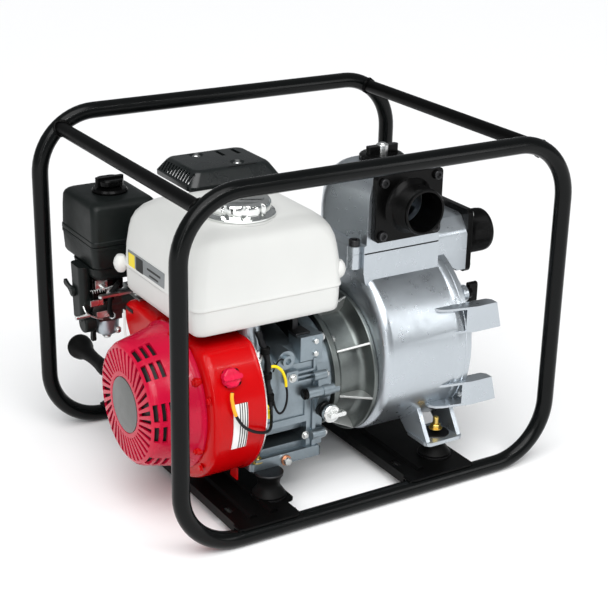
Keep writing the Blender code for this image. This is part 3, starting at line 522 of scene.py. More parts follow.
def make_finishes():
    return {
        "paint": paint("gloss_black_paint", (0.0025, 0.003, 0.003), gloss=0.19, peel=0.03, sheen=0.16),
        "member": paint("satin_black_paint", (0.002, 0.002, 0.002), gloss=0.36, peel=0.12, sheen=0.06),
        "plastic": moulded("black_moulded_plastic", (0.006, 0.008, 0.0075), gloss=0.40, sheen=0.2),
        "shiny_plastic": moulded("smooth_black_plastic", (0.002, 0.002, 0.002), gloss=0.24,
                                 texture=0.05, sheen=0.12),
        "guard": paint("guard_black_enamel", (0.004, 0.006, 0.006), gloss=0.26, peel=0.08, sheen=0.5),
        "rubber": moulded("black_rubber", (0.003, 0.003, 0.003), gloss=0.5, texture=0.08, sheen=0.1),
        "red": paint("glossy_red_paint", (0.50, 0.0008, 0.002), gloss=0.22, peel=0.03, coat=0.08,
                     sheen=0.15),
        # A brighter, pinker copy of the red paint for the recoil face: painted highlight.
        "painted_lit_red": paint("red_paint_painted_highlight", (0.52, 0.004, 0.035), gloss=0.24, peel=0.03, coat=0.15,
                          sheen=0.2),
        "red_knob": moulded("red_knob_plastic", (0.66, 0.006, 0.05), gloss=0.26, texture=0.05,
                            uneven=0.08),
        "white": moulded("off_white_tank", (0.66, 0.665, 0.645), gloss=0.36, texture=0.03, uneven=0.012,
                         sheen=0.25),
        "cast": cast_metal("cast_aluminium", (0.42, 0.465, 0.50), gloss=0.34),
        # A darker copy of the cast aluminium for the crankcase and side cover under the tank: painted
        # shade.
        "shaded_engine_metal": cast_metal("engine_aluminium_painted_shade", (0.25, 0.295, 0.325), gloss=0.34),
        "drum": cast_metal("blasted_aluminium", (0.50, 0.54, 0.575), gloss=0.28, texture=0.05,
                           mottle=0.03),
        # A darker copy of the cast aluminium for the carburetor, the pump adapter bell and the inner
        # parts: painted shade.
        "painted_shade_cast": cast_metal("cast_aluminium_in_painted_shade", (0.15, 0.165, 0.16), gloss=0.34),
        # A lighter copy of the cast aluminium for the adapter gussets: painted highlight.
        "painted_lit_rib_cast": cast_metal("rib_cast_painted_highlight", (0.42, 0.43, 0.42), gloss=0.40),
        "steel": machined("zinc_plated_steel", (0.62, 0.63, 0.62)),
        "bright": machined("bright_aluminium", (0.80, 0.81, 0.80), gloss=0.25),
        "chrome": machined("chrome_plate", (0.86, 0.88, 0.86), gloss=0.08),
        "yellow_zinc": machined("yellow_zinc_plate", (0.70, 0.50, 0.14), gloss=0.30),
        "copper": machined("copper_washer", (0.62, 0.28, 0.16), gloss=0.35),
        "dark_steel": machined("blackened_steel", (0.05, 0.05, 0.052), gloss=0.40),
        "rope": braided("starter_rope_braid", (0.74, 0.73, 0.68)),
        "black_wire": moulded("black_wire_sleeve", (0.006, 0.006, 0.007), gloss=0.38, texture=0.05,
                              sheen=0.2),
        "yellow_wire": moulded("yellow_wire_sleeve", (0.85, 0.62, 0.01), gloss=0.35, texture=0.05),
        "orange_wire": moulded("orange_wire_sleeve", (0.90, 0.36, 0.02), gloss=0.35, texture=0.05),
        "filter": moulded("filter_paper", (0.60, 0.56, 0.44), gloss=0.85, texture=0.3),
        "emblem": cast_metal("plain_grey_disc", (0.17, 0.175, 0.17), gloss=0.36, texture=0.1),
        "grey_label": moulded("grey_label_foil", (0.19, 0.205, 0.21), gloss=0.34, texture=0.05,
                              uneven=0.08),
        "yellow_label": moulded("yellow_label_ink", (0.83, 0.66, 0.02), gloss=0.34, texture=0.05,
                                uneven=0.05),
        # Flat black for label print, the neck gasket and marks, and for the ring behind the starter
        # slots, which is painted shade.
        "dark_mark_and_shade": moulded("dark_marks_and_painted_shade", (0.012, 0.012, 0.012), gloss=0.34, texture=0.05,
                              sheen=0.15),
        "striped_label": banded("striped_white_label", "X", 1.6, (0.82, 0.82, 0.80), (0.03, 0.03, 0.03)),
        "white_label": moulded("white_label_paper", (0.82, 0.82, 0.80), gloss=0.4, texture=0.05,
                               uneven=0.04),
    }


FINISH = make_finishes()


# ---------------------------------------------------------------- roll cage

def loops():
    for node in ("near_loop", "far_loop"):
        low, high = span(node)
        radius = (high.y - low.y) / 2
        outline = rounded_rectangle((low.x + radius, low.z + radius), (high.x - radius, high.z - radius),
                                    BEND_RADIUS, 16)
        middle_y = (low.y + high.y) / 2
        tube = swept([(x, middle_y, z) for x, z in outline], radius, 32, closed=True)
        piece(tube, node + "_tube", FINISH["paint"], nodes=[node])


def weld_ripple(i):
    return 1 + 0.13 * math.sin(i * 2.1) + 0.06 * math.sin(i * 0.9)


def cross_bars():
    loop_low, loop_high = span("near_loop")
    tube = (loop_high.y - loop_low.y) / 2
    loop_y = -(loop_low.y + loop_high.y) / 2
    for node in ("engine_cross_bar", "pump_cross_bar"):
        low, high = span(node)
        radius = (high.z - low.z) / 2
        centre = Vector(((low.x + high.x) / 2, 0, (low.z + high.z) / 2))
        side = 1 if centre.x > 0 else -1
        bend = Vector((side * (loop_high.x - tube - BEND_RADIUS), 0, loop_high.z - tube - BEND_RADIUS))
        outward = (centre - bend).normalized()
        along = Vector((-outward.z, 0, outward.x))
        bar = rod(radius, "Y", (centre.x, centre.z), -loop_y + 4, loop_y - 4, 32)
        piece(bar, node + "_tube", FINISH["member"], nodes=[node])
        beads = []
        for end in (-1, 1):
            path = []
            turns = 40
            for k in range(turns):
                angle = TAU * k / turns
                across = (radius + 0.8) * math.cos(angle)
                reach = loop_y - math.sqrt(tube ** 2 - across ** 2) - 0.4
                place = centre + outward * across + along * ((radius + 0.8) * math.sin(angle))
                path.append(place + Vector((0, end * reach, 0)))
            beads.append(swept(path, 2.2, 8, closed=True, swell=weld_ripple))
        piece(merged(*beads), node + "_welds", FINISH["member"])


def cross_members():
    for node, edges, has_tabs in (("engine_cross_member", ENGINE_MEMBER_X, True),
                                  ("pump_cross_member", PUMP_MEMBER_X, False)):
        low, high = span(node)
        left, right = edges
        lip = low.z
        sheet = 2.9
        top = 2 * 11.1 + 0.3 + sheet
        under = top - sheet
        ridge = left + 22
        outline = [(left, lip), (left + sheet, lip), (left + sheet, under), (right - sheet, under),
                   (right - sheet, lip), (right, lip), (right, top), (right - 22, top),
                   (right - 25, top + 4),
                   (right - 31, top + 4), (right - 34, top), (ridge + 12, top), (ridge + 9, top + 4),
                   (ridge + 3, top + 4), (ridge, top), (left, top)]
        if node == "pump_cross_member":
            outline = [(left, lip), (left + sheet, lip), (left + sheet, under), (right - sheet, under),
                       (right - sheet, lip), (right, lip), (right, top), (ridge + 12, top),
                       (ridge + 9, top + 4), (ridge + 3, top + 4), (ridge, top), (left, top)]
        inner = high.y - 19.5
        channel = prism(outline, "Y", -inner, inner)
        join(channel, prism(rounded_rectangle((left, low.y), (right, high.y), 7), "Z", under, top))
        if has_tabs:
            for mount in ("engine_mount_near", "engine_mount_far"):
                mount_low, mount_high = span(mount)
                corner = (right - 12, mount_low.y - 2)
                join(channel, prism(rounded_rectangle(corner, (high.x, mount_high.y + 2), 8), "Z",
                                    under, top))
        for end in (-1, 1):
            for x in (left + 10, right - 10):
                slot = rounded_rectangle((x - 3.2, end * (inner - 34) - 9),
                                         (x + 3.2, end * (inner - 34) + 9), 3.1, 4)
                cut(channel, prism(slot, "Z", under - 5, top + 8))
        piece(channel, node + "_pressing", FINISH["member"], nodes=[node],
              bevel=1.1, segments=2)
        beads = []
        for end in (-1, 1):
            for x_end in (low.x if not has_tabs else left, right):
                start = Vector((x_end, end * (high.y - 18), under + 0.5))
                stop = Vector((x_end, end * (high.y - 2), under + 0.3))
                line = [start.lerp(stop, k / 12) for k in range(13)]
                beads.append(swept(line, 2.0, 8, swell=weld_ripple))
        piece(merged(*beads), node + "_welds", FINISH["member"])


def rubber_mounts():
    for node in ("engine_mount_near", "engine_mount_far", "pump_mount_near", "pump_mount_far"):
        low, high = span(node)
        centre = ((low.x + high.x) / 2, (low.y + high.y) / 2)
        base, top = low.z, high.z
        radius = (high.x - low.x) / 2
        rubber = [(0, base + 2), (radius - 2.5, base + 2), (radius - 1.5, base + 4),
                  (radius - 4, base + 8),
                  (15.5, base + 13), (14.2, (base + top) / 2), (15.5, top - 9), (18.5, top - 4.5),
                  (18.8, top - 2.4), (0, top - 2.4)]
        piece(turned(rubber, "Z", centre, 40), node + "_rubber", FINISH["rubber"], nodes=[node])
        foot = turned([(0, base), (radius, base), (radius, base + 2.2), (0, base + 2.2)], "Z", centre,
                      40)
        join(foot, prism(rounded_rectangle((centre[0] - 6, centre[1] - radius - 1),
                                           (centre[0] + 6, centre[1] + radius + 1), 3),
                         "Z", base, base + 2.2))
        cap = rod(19, "Z", centre, top - 2.6, top, 40, 0.6)
        piece(merged(foot, cap), node + "_plates", FINISH["dark_steel"], bevel=0.5,
              segments=2)


def mount_fasteners():
    """Studs and nuts that hold the engine base and the pump feet to their mounts."""
    parts = []
    engine_top = 70.4
    for y in (-137.5, 12.0):
        parts.append(hex_bolt("Z", (-139.0, y), engine_top, 1, 6.6, 6.0))
        parts.append(rod(4, "Z", (-139.0, y), engine_top + 4, engine_top + 18, 16, 0.8))
    for node in ("pump_mount_near", "pump_mount_far"):
        low, high = span(node)
        centre = ((low.x + high.x) / 2, (low.y + high.y) / 2)
        seat = high.z + 5.3
        parts.append(hex_bolt("Z", centre, seat, 1, 7.0, 6.5))
        parts.append(rod(4, "Z", centre, seat + 4, seat + 17, 16, 0.8))
    piece(merged(*parts), "mount_studs_and_nuts", FINISH["yellow_zinc"], bevel=0.3,
          segments=2)


# ---------------------------------------------------------------- engine block

def crankcase():
    low, high = span("crankcase")
    left, right = low.x + 1.5, -60.0
    base = low.z
    shelf = base + 10
    near = low.y + 5
    outline = [(30, shelf - 4), from_crank(DECK, -44), from_crank(DECK, 40), (-60, 226), (-118, 214),
               (near, 196), (near, shelf - 4)]
    case = prism(outline, "X", left, right)
    join(case, prism(rounded_rectangle((low.x, low.y), (right + 15, high.y), 6), "Z", base, shelf))
    trough = [(near - 10, shelf + 2.5), (near + 9, shelf + 2.5), (near + 12, shelf + 12),
              (near + 9, 108), (near - 10, 116)]
    cut(case, prism(trough, "X", left + 14, right - 7))
    join(case, block((left + 6, low.y, shelf - 1), (right + 10, low.y + 4.5, shelf + 5)))
    cut(case, block((left + 22, near - 3, 121), (right - 10, near + 2.2, 143)))
    for level in (171, 177.5, 184):
        join(case, block((-100, near - 4.5, level), (right, near + 3, level + 2.6)))
    join(case, block((-101.5, near - 7, 172), (-85, near + 3, 190)))
    boss_axis = (-101.0, 206.0)
    join(case, rod(12.5, "Y", boss_axis, near - 4, -118, 32),
         rod(7.5, "Y", boss_axis, near - 9, -120, 32))
    cut(case, rod(4.2, "Y", boss_axis, near - 12, near - 5, 24))
    join(case, block((-79, near - 2, 198), (-47, -112, 231)))
    room = [(20, 80), (20, 150), from_crank(DECK - 10, -33), from_crank(DECK - 10, 30), (-62, 214),
            (-114, 204),
            (-130, 190), (-130, 80)]
    cut(case, prism(room, "X", left + 7, right - 5))
    cut(case, rod(16, "X", (CRANK.y, CRANK.z), left - 5, right + 5))
    cut(case, on_cylinder(rod(36, "Z", (0, 0), DECK - 30, DECK + 5, 48)))
    # The crankcase's darker cast finish is painted shade.
    piece(case, "crankcase_casting", FINISH["shaded_engine_metal"], nodes=["crankcase"],
          bevel=2.0)

    parts = [hex_bolt("Y", (-57, 206), near - 2, -1, 4, 3.5, False),
             hex_bolt("Y", (-57, 223), near - 2, -1, 4, 3.5, False),
             hex_bolt("Y", (-93, 181), near - 7, -1, 4.5, 4)]
    for x, z in ((-144, 120), (-68, 92)):
        parts.append(hex_bolt("Y", (x, z), near, -1, 4.2, 4))
    piece(merged(*parts), "crankcase_bolts", FINISH["steel"], bevel=0.3, segments=2)


def side_cover():
    low, high = span("crankcase_side_cover")
    left = low.x
    flange = 5.0
    face = high.x - 9
    base = low.z
    outline = [(8, base), (8, 190), (-10, 210), (-120, 210), (-138, 196), (-138, base)]
    cover = prism(outline, "X", left, face)
    rim = [(11, base), (12, 193), (-8, 215), (-121, 215), (-143, 200), (-143, base)]
    join(cover, prism(rim, "X", left, left + flange))
    axis = (CRANK.y, CRANK.z)
    step = [(0, left + 4), (78, left + 4), (78, high.x - 4), (74, high.x - 2), (74, high.x),
            (66, high.x),
            (66, high.x - 3), (0, high.x - 3)]
    join(cover, turned(step, "X", axis, 96))
    bosses = [(-131, 222), (-144, 176), (-143, 92), (-58, 222), (10, 178), (10, 92)]
    for y, z in bosses:
        join(cover, rod(7.2, "X", (y, z), left - 2, left + 17, 24))
    long_boss = (-147.0, 154.5)
    join(cover, rod(8, "X", long_boss, -72, -26, 28), rod(9.2, "X", long_boss, -50, -40, 28))
    join(cover, block((-56, -150, 148), (-44, -134, 161)))
    # The side cover's darker cast finish is painted shade.
    piece(cover, "side_cover_casting", FINISH["shaded_engine_metal"], nodes=["crankcase_side_cover"],
          bevel=1.6)

    heads = [hex_bolt("X", place, left + 17, 1, 5, 4.5) for place in bosses]
    heads.append(rod(4.5, "X", long_boss, -26.5, -22, 16, 0.5))
    piece(merged(*heads), "side_cover_bolts", FINISH["steel"], bevel=0.3, segments=2)
    plug = turned([(0, -71.5), (7, -71.5), (7.4, -73), (7.4, -76), (5, -78), (0, -78)], "X", long_boss,
                  24)
    piece(plug, "governor_shaft_cap", FINISH["shiny_plastic"])

    cap_high = span("oil_filler_cap")[1]
    turn = pivot("oil_cap_turn")
    centre = (turn.x, turn.z)
    neck_end = cap_high.y + 0.3
    neck = turned([(0, -118), (11.5, -118), (11.5, neck_end + 7), (10.2, neck_end + 6),
                   (10.2, neck_end), (0, neck_end)],
                  "Y", centre, 36)
    piece(neck, "oil_filler_neck", FINISH["shiny_plastic"], bevel=0.5, segments=2)


def oil_cap():
    low, high = span("oil_filler_cap")
    turn = pivot("oil_cap_turn")
    centre = (turn.x, turn.z)
    face = turn.y - 8
    seat = high.y
    profile = [(0, seat), (11.6, seat), (12.2, seat - 1), (12.2, face + 2), (11, face + 0.4),
               (8.5, face),
               (8, face + 0.8), (0, face + 0.8)]
    cap = turned(profile, "Y", centre, 48)
    tab_outline = [(-6, -2.6), (15, -3.2), (17.6, -2), (18, 0), (17.6, 2), (15, 3.2), (-6, 2.6)]
    tab = prism([(centre[0] + a, centre[1] + b) for a, b in tab_outline], "Y", low.y, face + 3)
    piece(join(cap, tab), "oil_cap_disc", FINISH["bright"], body="oil_filler_cap",
          nodes=["oil_filler_cap"],
          bevel=0.7, segments=2)


def drain_bolt():
    low, high = span("oil_drain_bolt")
    centre = ((low.x + high.x) / 2, (low.z + high.z) / 2)
    head = hex_bolt("Y", centre, high.y - 1.6, -1, 5.6, high.y - 1.6 - low.y, False)
    piece(head, "drain_bolt_head", FINISH["steel"], nodes=["oil_drain_bolt"], bevel=0.5,
          segments=2)
    washer = turned([(4, high.y - 1.8), (6.8, high.y - 1.8), (7.2, high.y - 1.2), (6.8, high.y + 0.2),
                     (4, high.y + 0.2)],
                    "Y", centre, 32)
    piece(washer, "drain_washer", FINISH["copper"])


def cylinder():
    for node in ("cylinder_barrel", "cylinder_head", "valve_cover"):
        keep_node(node, FINISH["cast"], 0.8)
    keep_node("spark_plug", FINISH["steel"])
    cap = turned([(0, 205), (7.5, 205), (8.5, 208), (8.5, 224), (7, 229), (4, 232), (0, 232)], "Z",
                 (-14, 31), 28)
    piece(on_cylinder(cap), "spark_plug_cap", FINISH["rubber"])
    tip = on_cylinder(rod(1, "Z", (-14, 31), 229, 230, 8))
    start = tip.data.vertices[0].co.copy()
    bpy.data.objects.remove(tip, do_unlink=True)
    route = [start, start + Vector((-6, 16, 6)), start + Vector((-22, 14, -2)), (-140, 84, 232),
             (-158, 66, 236),
             (-170, 40, 240)]
    piece(swept(curve_through(route), 3.2, 12), "ignition_lead", FINISH["rubber"])
    for t in (-36, 36):
        for s in (-24, 24):
            bolt = on_cylinder(hex_bolt("Z", (s * 1.7, t * 0.42), 212, 1, 4.2, 4))
            piece(bolt, f"valve_cover_bolt_{'a' if t < 0 else 'b'}_{'l' if s < 0 else 'r'}",
                  FINISH["steel"],
                  bevel=0.3, segments=2)


# ---------------------------------------------------------------- cooling and starter

def blower_outline():
    """The fan scroll: round below and on the near side, flat on top, ducted to the cylinder."""
    low, high = span("blower_housing")
    radius = CRANK.y - low.y
    top = high.z
    start = math.asin((top - CRANK.z) / radius)
    points = [(62, top), (high.y, 226), (58, 188)]
    steps = 72
    for k in range(steps + 1):
        angle = -(math.pi + start) * k / steps
        points.append((CRANK.y + radius * math.cos(angle), CRANK.z + radius * math.sin(angle)))
    return points


def seen_from(outline, centre, angle):
    """How far an outline lies from a centre, looking out at an angle."""
    way = Vector((math.cos(angle), math.sin(angle)))
    best = 0.0
    for a, b in zip(outline, outline[1:] + outline[:1]):
        first, second = Vector(a) - centre, Vector(b) - centre
        edge = second - first
        cross = way.x * edge.y - way.y * edge.x
        if abs(cross) < 1e-9:
            continue
        reach = (first.x * edge.y - first.y * edge.x) / cross
        share = (first.x * way.y - first.y * way.x) / cross
        if reach > best and -1e-6 <= share <= 1 + 1e-6:
            best = reach
    return best


def blower():
    low, high = span("blower_housing")
    front, back = low.x, high.x
    centre = Vector((CRANK.y, CRANK.z))
    outline = blower_outline()
    steps = 180
    angles = [TAU * k / steps for k in range(steps)]
    reach = [seen_from(outline, centre, angle) for angle in angles]
    even = []
    for k in range(steps):
        around = [reach[(k + j) % steps] for j in range(-2, 3)]
        even.append(sum(around) / len(around))
    mouth = 81.0

    def ring(x, inset):
        return [(x, centre.x + (r - inset) * math.cos(a), centre.y + (r - inset) * math.sin(a))
                for r, a in zip(even, angles)]

    def circle(x, radius):
        return [(x, centre.x + radius * math.cos(a), centre.y + radius * math.sin(a)) for a in angles]

    wall = 2.4
    rings = [ring(back, 0), ring(back + -1.5, -0.3), ring(back - 3.5, -0.3), ring(back - 5.0, 1.2),
             ring(front + 13, 0.8), ring(front + 7, 2.2), ring(front + 3, 5.2), ring(front + 0.8, 9.5),
             ring(front, 14), circle(front, 92), circle(front - 0.2, mouth), circle(front + wall, mouth),
             circle(front + wall, 92), ring(front + wall + 1, 15), ring(front + 8, 6),
             ring(front + 14, 3.6),
             ring(back - 5, 3.6), ring(back, 2.6)]
    shell = skin(rings, closed=True)
    slots = []
    for k in range(6):
        angle = math.radians(58 + 7.5 * k)
        reach_here = seen_from(outline, centre, angle)
        slot = block((front - 4, -1.9, reach_here - 18), (front + 12, 1.9, reach_here + 6))
        turn = Matrix.Translation((0, *centre)) @ Matrix.Rotation(angle - math.pi / 2, 4, "X")
        slots.append(moved(slot, turn))
    cut(shell, merged(*slots))
    piece(shell, "blower_shroud", FINISH["red"], nodes=["blower_housing"], bevel=0.5,
          segments=2, angle=50)

    rim = skin([ring(back - 0.2, 2.2), ring(back - 0.2, -0.6), ring(back + 1.3, -0.6),
                ring(back + 1.3, 2.2)], closed=True)
    piece(rim, "blower_back_rim", FINISH["bright"])

    parts = []
    for degrees in (163, 222, 262, 318):
        angle = math.radians(degrees)
        place = (centre.x + 104 * math.cos(angle), centre.y + 104 * math.sin(angle))
        parts.append(hex_bolt("X", place, front, -1, 4.2, 3.6))
    piece(merged(*parts), "blower_bolts", FINISH["red"], bevel=0.3, segments=2)
    tabs = []
    for y in (-122, -22):
        tabs.append(block((back - 12, y - 9, 46.5), (back - 9.6, y + 9, 64)))
    piece(merged(*tabs), "blower_foot_tabs", FINISH["red"], bevel=0.8, segments=2)
    panel_z = 190
    strip = block((front - 0.9, 63, panel_z - 4), (front - 0.2, 70, panel_z + 34))
    piece(strip, "blower_side_strip", FINISH["white_label"])
    dark = block((front - 0.9, 40, 228), (front - 0.2, 61, 233))
    piece(dark, "blower_mark_strip", FINISH["dark_mark_and_shade"])


def recoil_cover():
    low, high = span("recoil_cover")
    seat, face = high.x, low.x
    axis = (CRANK.y, CRANK.z)
    outer = [(95, seat), (95.2, seat - 2.5), (94, seat - 4), (91.8, seat - 6), (90.6, seat - 9),
             (80.2, face + 14),
             (79, face + 9.5), (77, face + 6), (74, face + 3.6), (70, face + 2), (38.5, face + 0.2),
             (36.8, face + 0.6), (36.4, face + 1.8), (0, face + 1.8)]
    inner = [(0, face + 4.4), (36, face + 4.4), (70, face + 5.0), (73.5, face + 7), (76, face + 11),
             (87.6, seat - 7),
             (88.5, seat)]
    cover = turned(outer + inner, "X", axis, 144)
    slots = []
    count = 38
    for k in range(count):
        swirl = math.radians(9)
        corners = []
        for radius, half, lag in ((42.5, 1.7, 0), (42.5, -1.7, 0), (71.5, -2.9, swirl),
                                  (71.5, 2.9, swirl)):
            angle = lag + half / radius
            corners.append((radius * math.sin(angle), radius * math.cos(angle)))
        slot = prism(corners, "X", face - 4, face + 8)
        slots.append(moved(slot,
                           Matrix.Translation((0, *axis)) @ Matrix.Rotation(TAU * k / count, 4, "X")))
    cut(cover, merged(*slots))
    slots = []
    for row in (24, 50, 107, 129, 167, 188, 226, 247, 268):
        for x in (-284, -274.5, -265):
            sector = []
            for radius in (68, 96):
                span_angles = [math.radians(row + d) for d in (-8.2, -4, 0, 4, 8.2)]
                if radius == 96:
                    span_angles.reverse()
                sector += [(radius * math.cos(a), radius * math.sin(a)) for a in span_angles]
            slot = prism(sector, "X", x - 2.9, x + 2.9)
            slots.append(shifted(slot, (0, *axis)))
    cut(cover, merged(*slots))
    grip_low, grip_high = span("starter_rope")
    boss = ((grip_low.x + grip_high.x) / 2, (grip_low.z + grip_high.z) / 2)
    join(cover, rod(12, "Y", boss, 9.5, high.y - 1, 32, 1.0))
    cut(cover, rod(4.5, "Y", boss, -5, high.y + 5, 16))
    # The recoil face's brighter, pinker red is a painted highlight.
    piece(cover, "recoil_cover_pressing", FINISH["painted_lit_red"], nodes=["recoil_cover"],
          bevel=0.6, segments=2)

    disc = turned([(0, face + 1.6), (35.6, face + 1.6), (35.6, face + 0.4), (34.6, face), (0, face)],
                  "X", axis, 96)
    piece(disc, "recoil_centre_disc", FINISH["emblem"])
    bushing = turned([(4.2, high.y - 2), (9, high.y - 2), (9.5, high.y), (7, high.y + 3),
                      (4.2, high.y + 3)], "Y", boss, 32)
    piece(bushing, "rope_guide", FINISH["shiny_plastic"])
    screws = []
    for degrees in (100, 148, 208, 280, 340):
        angle = math.radians(degrees)
        place = (axis[0] + 90.5 * math.cos(angle), axis[1] + 90.5 * math.sin(angle))
        screws.append(merged(rod(6.0, "X", place, seat - 8.5, seat, 24, 0.8),
                             hex_bolt("X", place, seat - 8.5, -1, 4, 3.2)))
    piece(merged(*screws), "recoil_cover_screws", FINISH["red"], bevel=0.3, segments=2)
    # A flat black ring behind the slots: painted shade, so the slots read dark.
    screen = turned([(37, face + 5.6), (69.5, face + 6.2), (72.4, face + 8), (75, face + 12),
                     (86, seat - 8), (86, seat - 6),
                     (84.6, seat - 6), (73.6, face + 13), (70, face + 8.4), (37, face + 7)], "X", axis,
                    96)
    piece(screen, "starter_slot_painted_shade", FINISH["dark_mark_and_shade"])
    keep_node("starter_reel", FINISH["plastic"])


def grip_and_rope():
    low, high = span("recoil_grip")
    centre = ((low.x + high.x) / 2, (low.z + high.z) / 2)
    start = low.y
    end = high.y
    profile = [(0, start), (7, start), (9.6, start + 2), (10.8, start + 6), (10.2, start + 14),
               (9.0, start + 26),
               (8.8, start + 44), (9.8, start + 60), (12, start + 72), (15.6, end - 20),
               (17.3, end - 12),
               (17.5, end - 8), (16.6, end - 4), (14, end - 1.4), (10, end - 0.3), (0, end)]
    piece(turned(profile, "Y", centre, 48), "recoil_grip_handle", FINISH["rubber"], body="starter_pull",
          nodes=["recoil_grip"])
    rope_low = span("starter_rope")[0]
    line = [Vector((centre[0], rope_low.y + (start + 3 - rope_low.y) * k / 60,
                    centre[1])) for k in range(61)]
    rope = piece(swept(line, 2.1, 12, swell=lambda i: 1 + 0.05 * math.sin(i * 1.3)),
                 "starter_rope_braid",
                 FINISH["rope"], body=None, nodes=["starter_rope"])
    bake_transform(rope)


def engine_switch():
    seat = pivot("engine_switch_turn")
    out = Vector((0, math.cos(SWITCH_ANGLE), math.sin(SWITCH_ANGLE)))
    side = Vector((1, 0, 0))
    up = out.cross(side)
    frame_in = Matrix((side, up, out)).transposed().to_4x4()
    to_switch = Matrix.Translation(seat) @ frame_in

    def grips(angle, radius):
        return 1 - 0.07 * max(0.0, math.cos(angle * 8)) if radius > 8 else 1.0

    knob = turned([(0, 0.4), (11.4, 0.4), (12.6, 1.4), (12.2, 6), (11.0, 8), (9.4, 8.6), (0, 8.6)], "Z",
                  (0, 0), 96, grips)
    join(knob, prism(rounded_rectangle((-14, -3.2), (12, 3.2), 3.0), "Z", 7.0, 12))
    piece(moved(knob, to_switch), "engine_switch_cap", FINISH["red_knob"], body="engine_switch",
          nodes=["engine_switch_knob"], bevel=0.5, segments=2)
    plate = prism(rounded_rectangle((-9, -11), (14, 11), 5), "Z", -1.4, 0.2)
    piece(moved(plate, to_switch), "engine_switch_plate", FINISH["shiny_plastic"],
          bevel=0.4,
          segments=2)


def shroud_labels():
    """A plain white panel and a striped panel on the near side of the shroud."""
    low = span("blower_housing")[0]
    radius = CRANK.y - low.y + 0.35
    for name, x_range, finish in (("shroud_label_white", (-198, -190.5), "white_label"),
                                  ("shroud_label_bars", (-190.5, -178), "striped_label")):
        rows = []
        steps = 16
        for k in range(steps + 1):
            angle = math.radians(168 + (200 - 168) * k / steps)
            y = math.cos(angle)
            z = math.sin(angle)
            rows.append([(x, CRANK.y + r * y, CRANK.z + r * z) for x, r in
                         ((x_range[0], radius), (x_range[1], radius), (x_range[1], radius - 1),
                          (x_range[0], radius - 1))])
        piece(skin(rows), name, FINISH[finish])


# ---------------------------------------------------------------- fuel and air

def fuel_tank():
    low, high = span("fuel_tank")
    bottom, top = low.z, high.z
    seam = bottom + 36
    levels = [(bottom, 8, 10), (bottom + 1.2, 5, 12), (bottom + 4, 3.2, 13), (bottom + 9, 2.2, 14),
              (seam - 4, 1.6, 14),
              (seam - 3, 1.7, 14), (seam - 2.2, 0.8, 14), (seam - 1.4, 0.1, 14), (seam + 0.2, 0, 14),
              (seam + 1.4, 0.4, 14), (seam + 4, 1.0, 14), (top - 60, 2.0, 15), (top - 40, 4.0, 17),
              (top - 28, 5.5, 20),
              (top - 18, 8.5, 24), (top - 10, 13.5, 28), (top - 4, 21, 30), (top - 1, 31, 30),
              (top, 46, 26)]
    shell = loft((low.x, high.x), (low.y, high.y), levels, 14, arc_steps=14)
    piece(shell, "fuel_tank_shell", FINISH["white"], nodes=["fuel_tank"])
    lugs = []
    for centre in ((low.x - 2, high.y - 3, seam - 1), (high.x - 3, low.y + 13, seam + 17)):
        lug = turned([(0, -8), (6, -7.4), (10, -4.5), (12, 0), (10, 4.5), (6, 7.4), (0, 8)], "Z",
                     (0, 0), 32)
        stretch = Matrix.Diagonal((0.8, 0.9, 1.5, 1.0))
        lugs.append(moved(lug, Matrix.Translation(centre) @ stretch))
    piece(merged(*lugs), "fuel_tank_lugs", FINISH["white"])

    cap_low, cap_high = span("fuel_cap")
    cap_turn = pivot("fuel_cap_turn")
    centre = (cap_turn.x, cap_turn.y)
    rim = (cap_high.x - cap_low.x) / 2
    neck = turned([(22, top - 8), (rim + 1.5, top - 8), (rim + 1.5, top - 0.4), (rim, top + 0.2),
                   (24, top + 0.2),
                   (22, top - 1)], "Z", centre, 72)
    piece(neck, "fuel_filler_ring", FINISH["white"], bevel=0.8, segments=2)

    face = low.x + 1.0
    for name, y_range, z_range, lift, finish in (
            ("tank_plate", (-66, 38), (296, 321), 0.3, "grey_label"),
            ("tank_plate_patch", (18, 36), (299, 318), 0.5, "yellow_label"),
            ("tank_plate_shade", (-6, 14), (298, 319), 0.45, "dark_mark_and_shade"),
            ("tank_plate_bar_upper", (-56, -18), (311, 314), 0.45, "dark_mark_and_shade"),
            ("tank_plate_bar_lower", (-50, -24), (304, 306.5), 0.45, "dark_mark_and_shade")):
        shift = -2.0
        plate = prism(rounded_rectangle((y_range[0], z_range[0] + shift),
                                        (y_range[1], z_range[1] + shift), 0.8, 3),
                      "X", face - lift, face + 1.5)
        piece(plate, name, FINISH[finish])


def fuel_cap():
    low, high = span("fuel_cap")
    turn = pivot("fuel_cap_turn")
    centre = (turn.x, turn.y)
    seat = turn.z + 0.4
    top = high.z
    rim = (high.x - low.x) / 2
    body = rim - 6

    def grips(angle, radius):
        if radius < body - 1.5 or radius > body + 1:
            return 1.0
        return 1 - 0.055 * max(0.0, math.cos(angle * 10)) ** 2

    profile = [(20, low.z), (23, low.z), (23, seat), (rim - 0.6, seat), (rim, seat + 0.8),
               (rim, seat + 2.6),
               (rim - 1, seat + 3.8), (body + 1.2, seat + 4.8), (body - 0.6, seat + 6.2),
               (body, seat + 8),
               (body, top - 5.5), (body - 0.8, top - 2.8), (body - 2.6, top - 1), (body - 5, top),
               (body - 9, top - 0.2),
               (body - 11, top - 1.2), (0, top - 1.2), (0, top - 4), (20, top - 4)]
    piece(turned(profile, "Z", centre, 160, grips), "fuel_cap_cover", FINISH["chrome"], body="fuel_cap",
          nodes=["fuel_cap"])


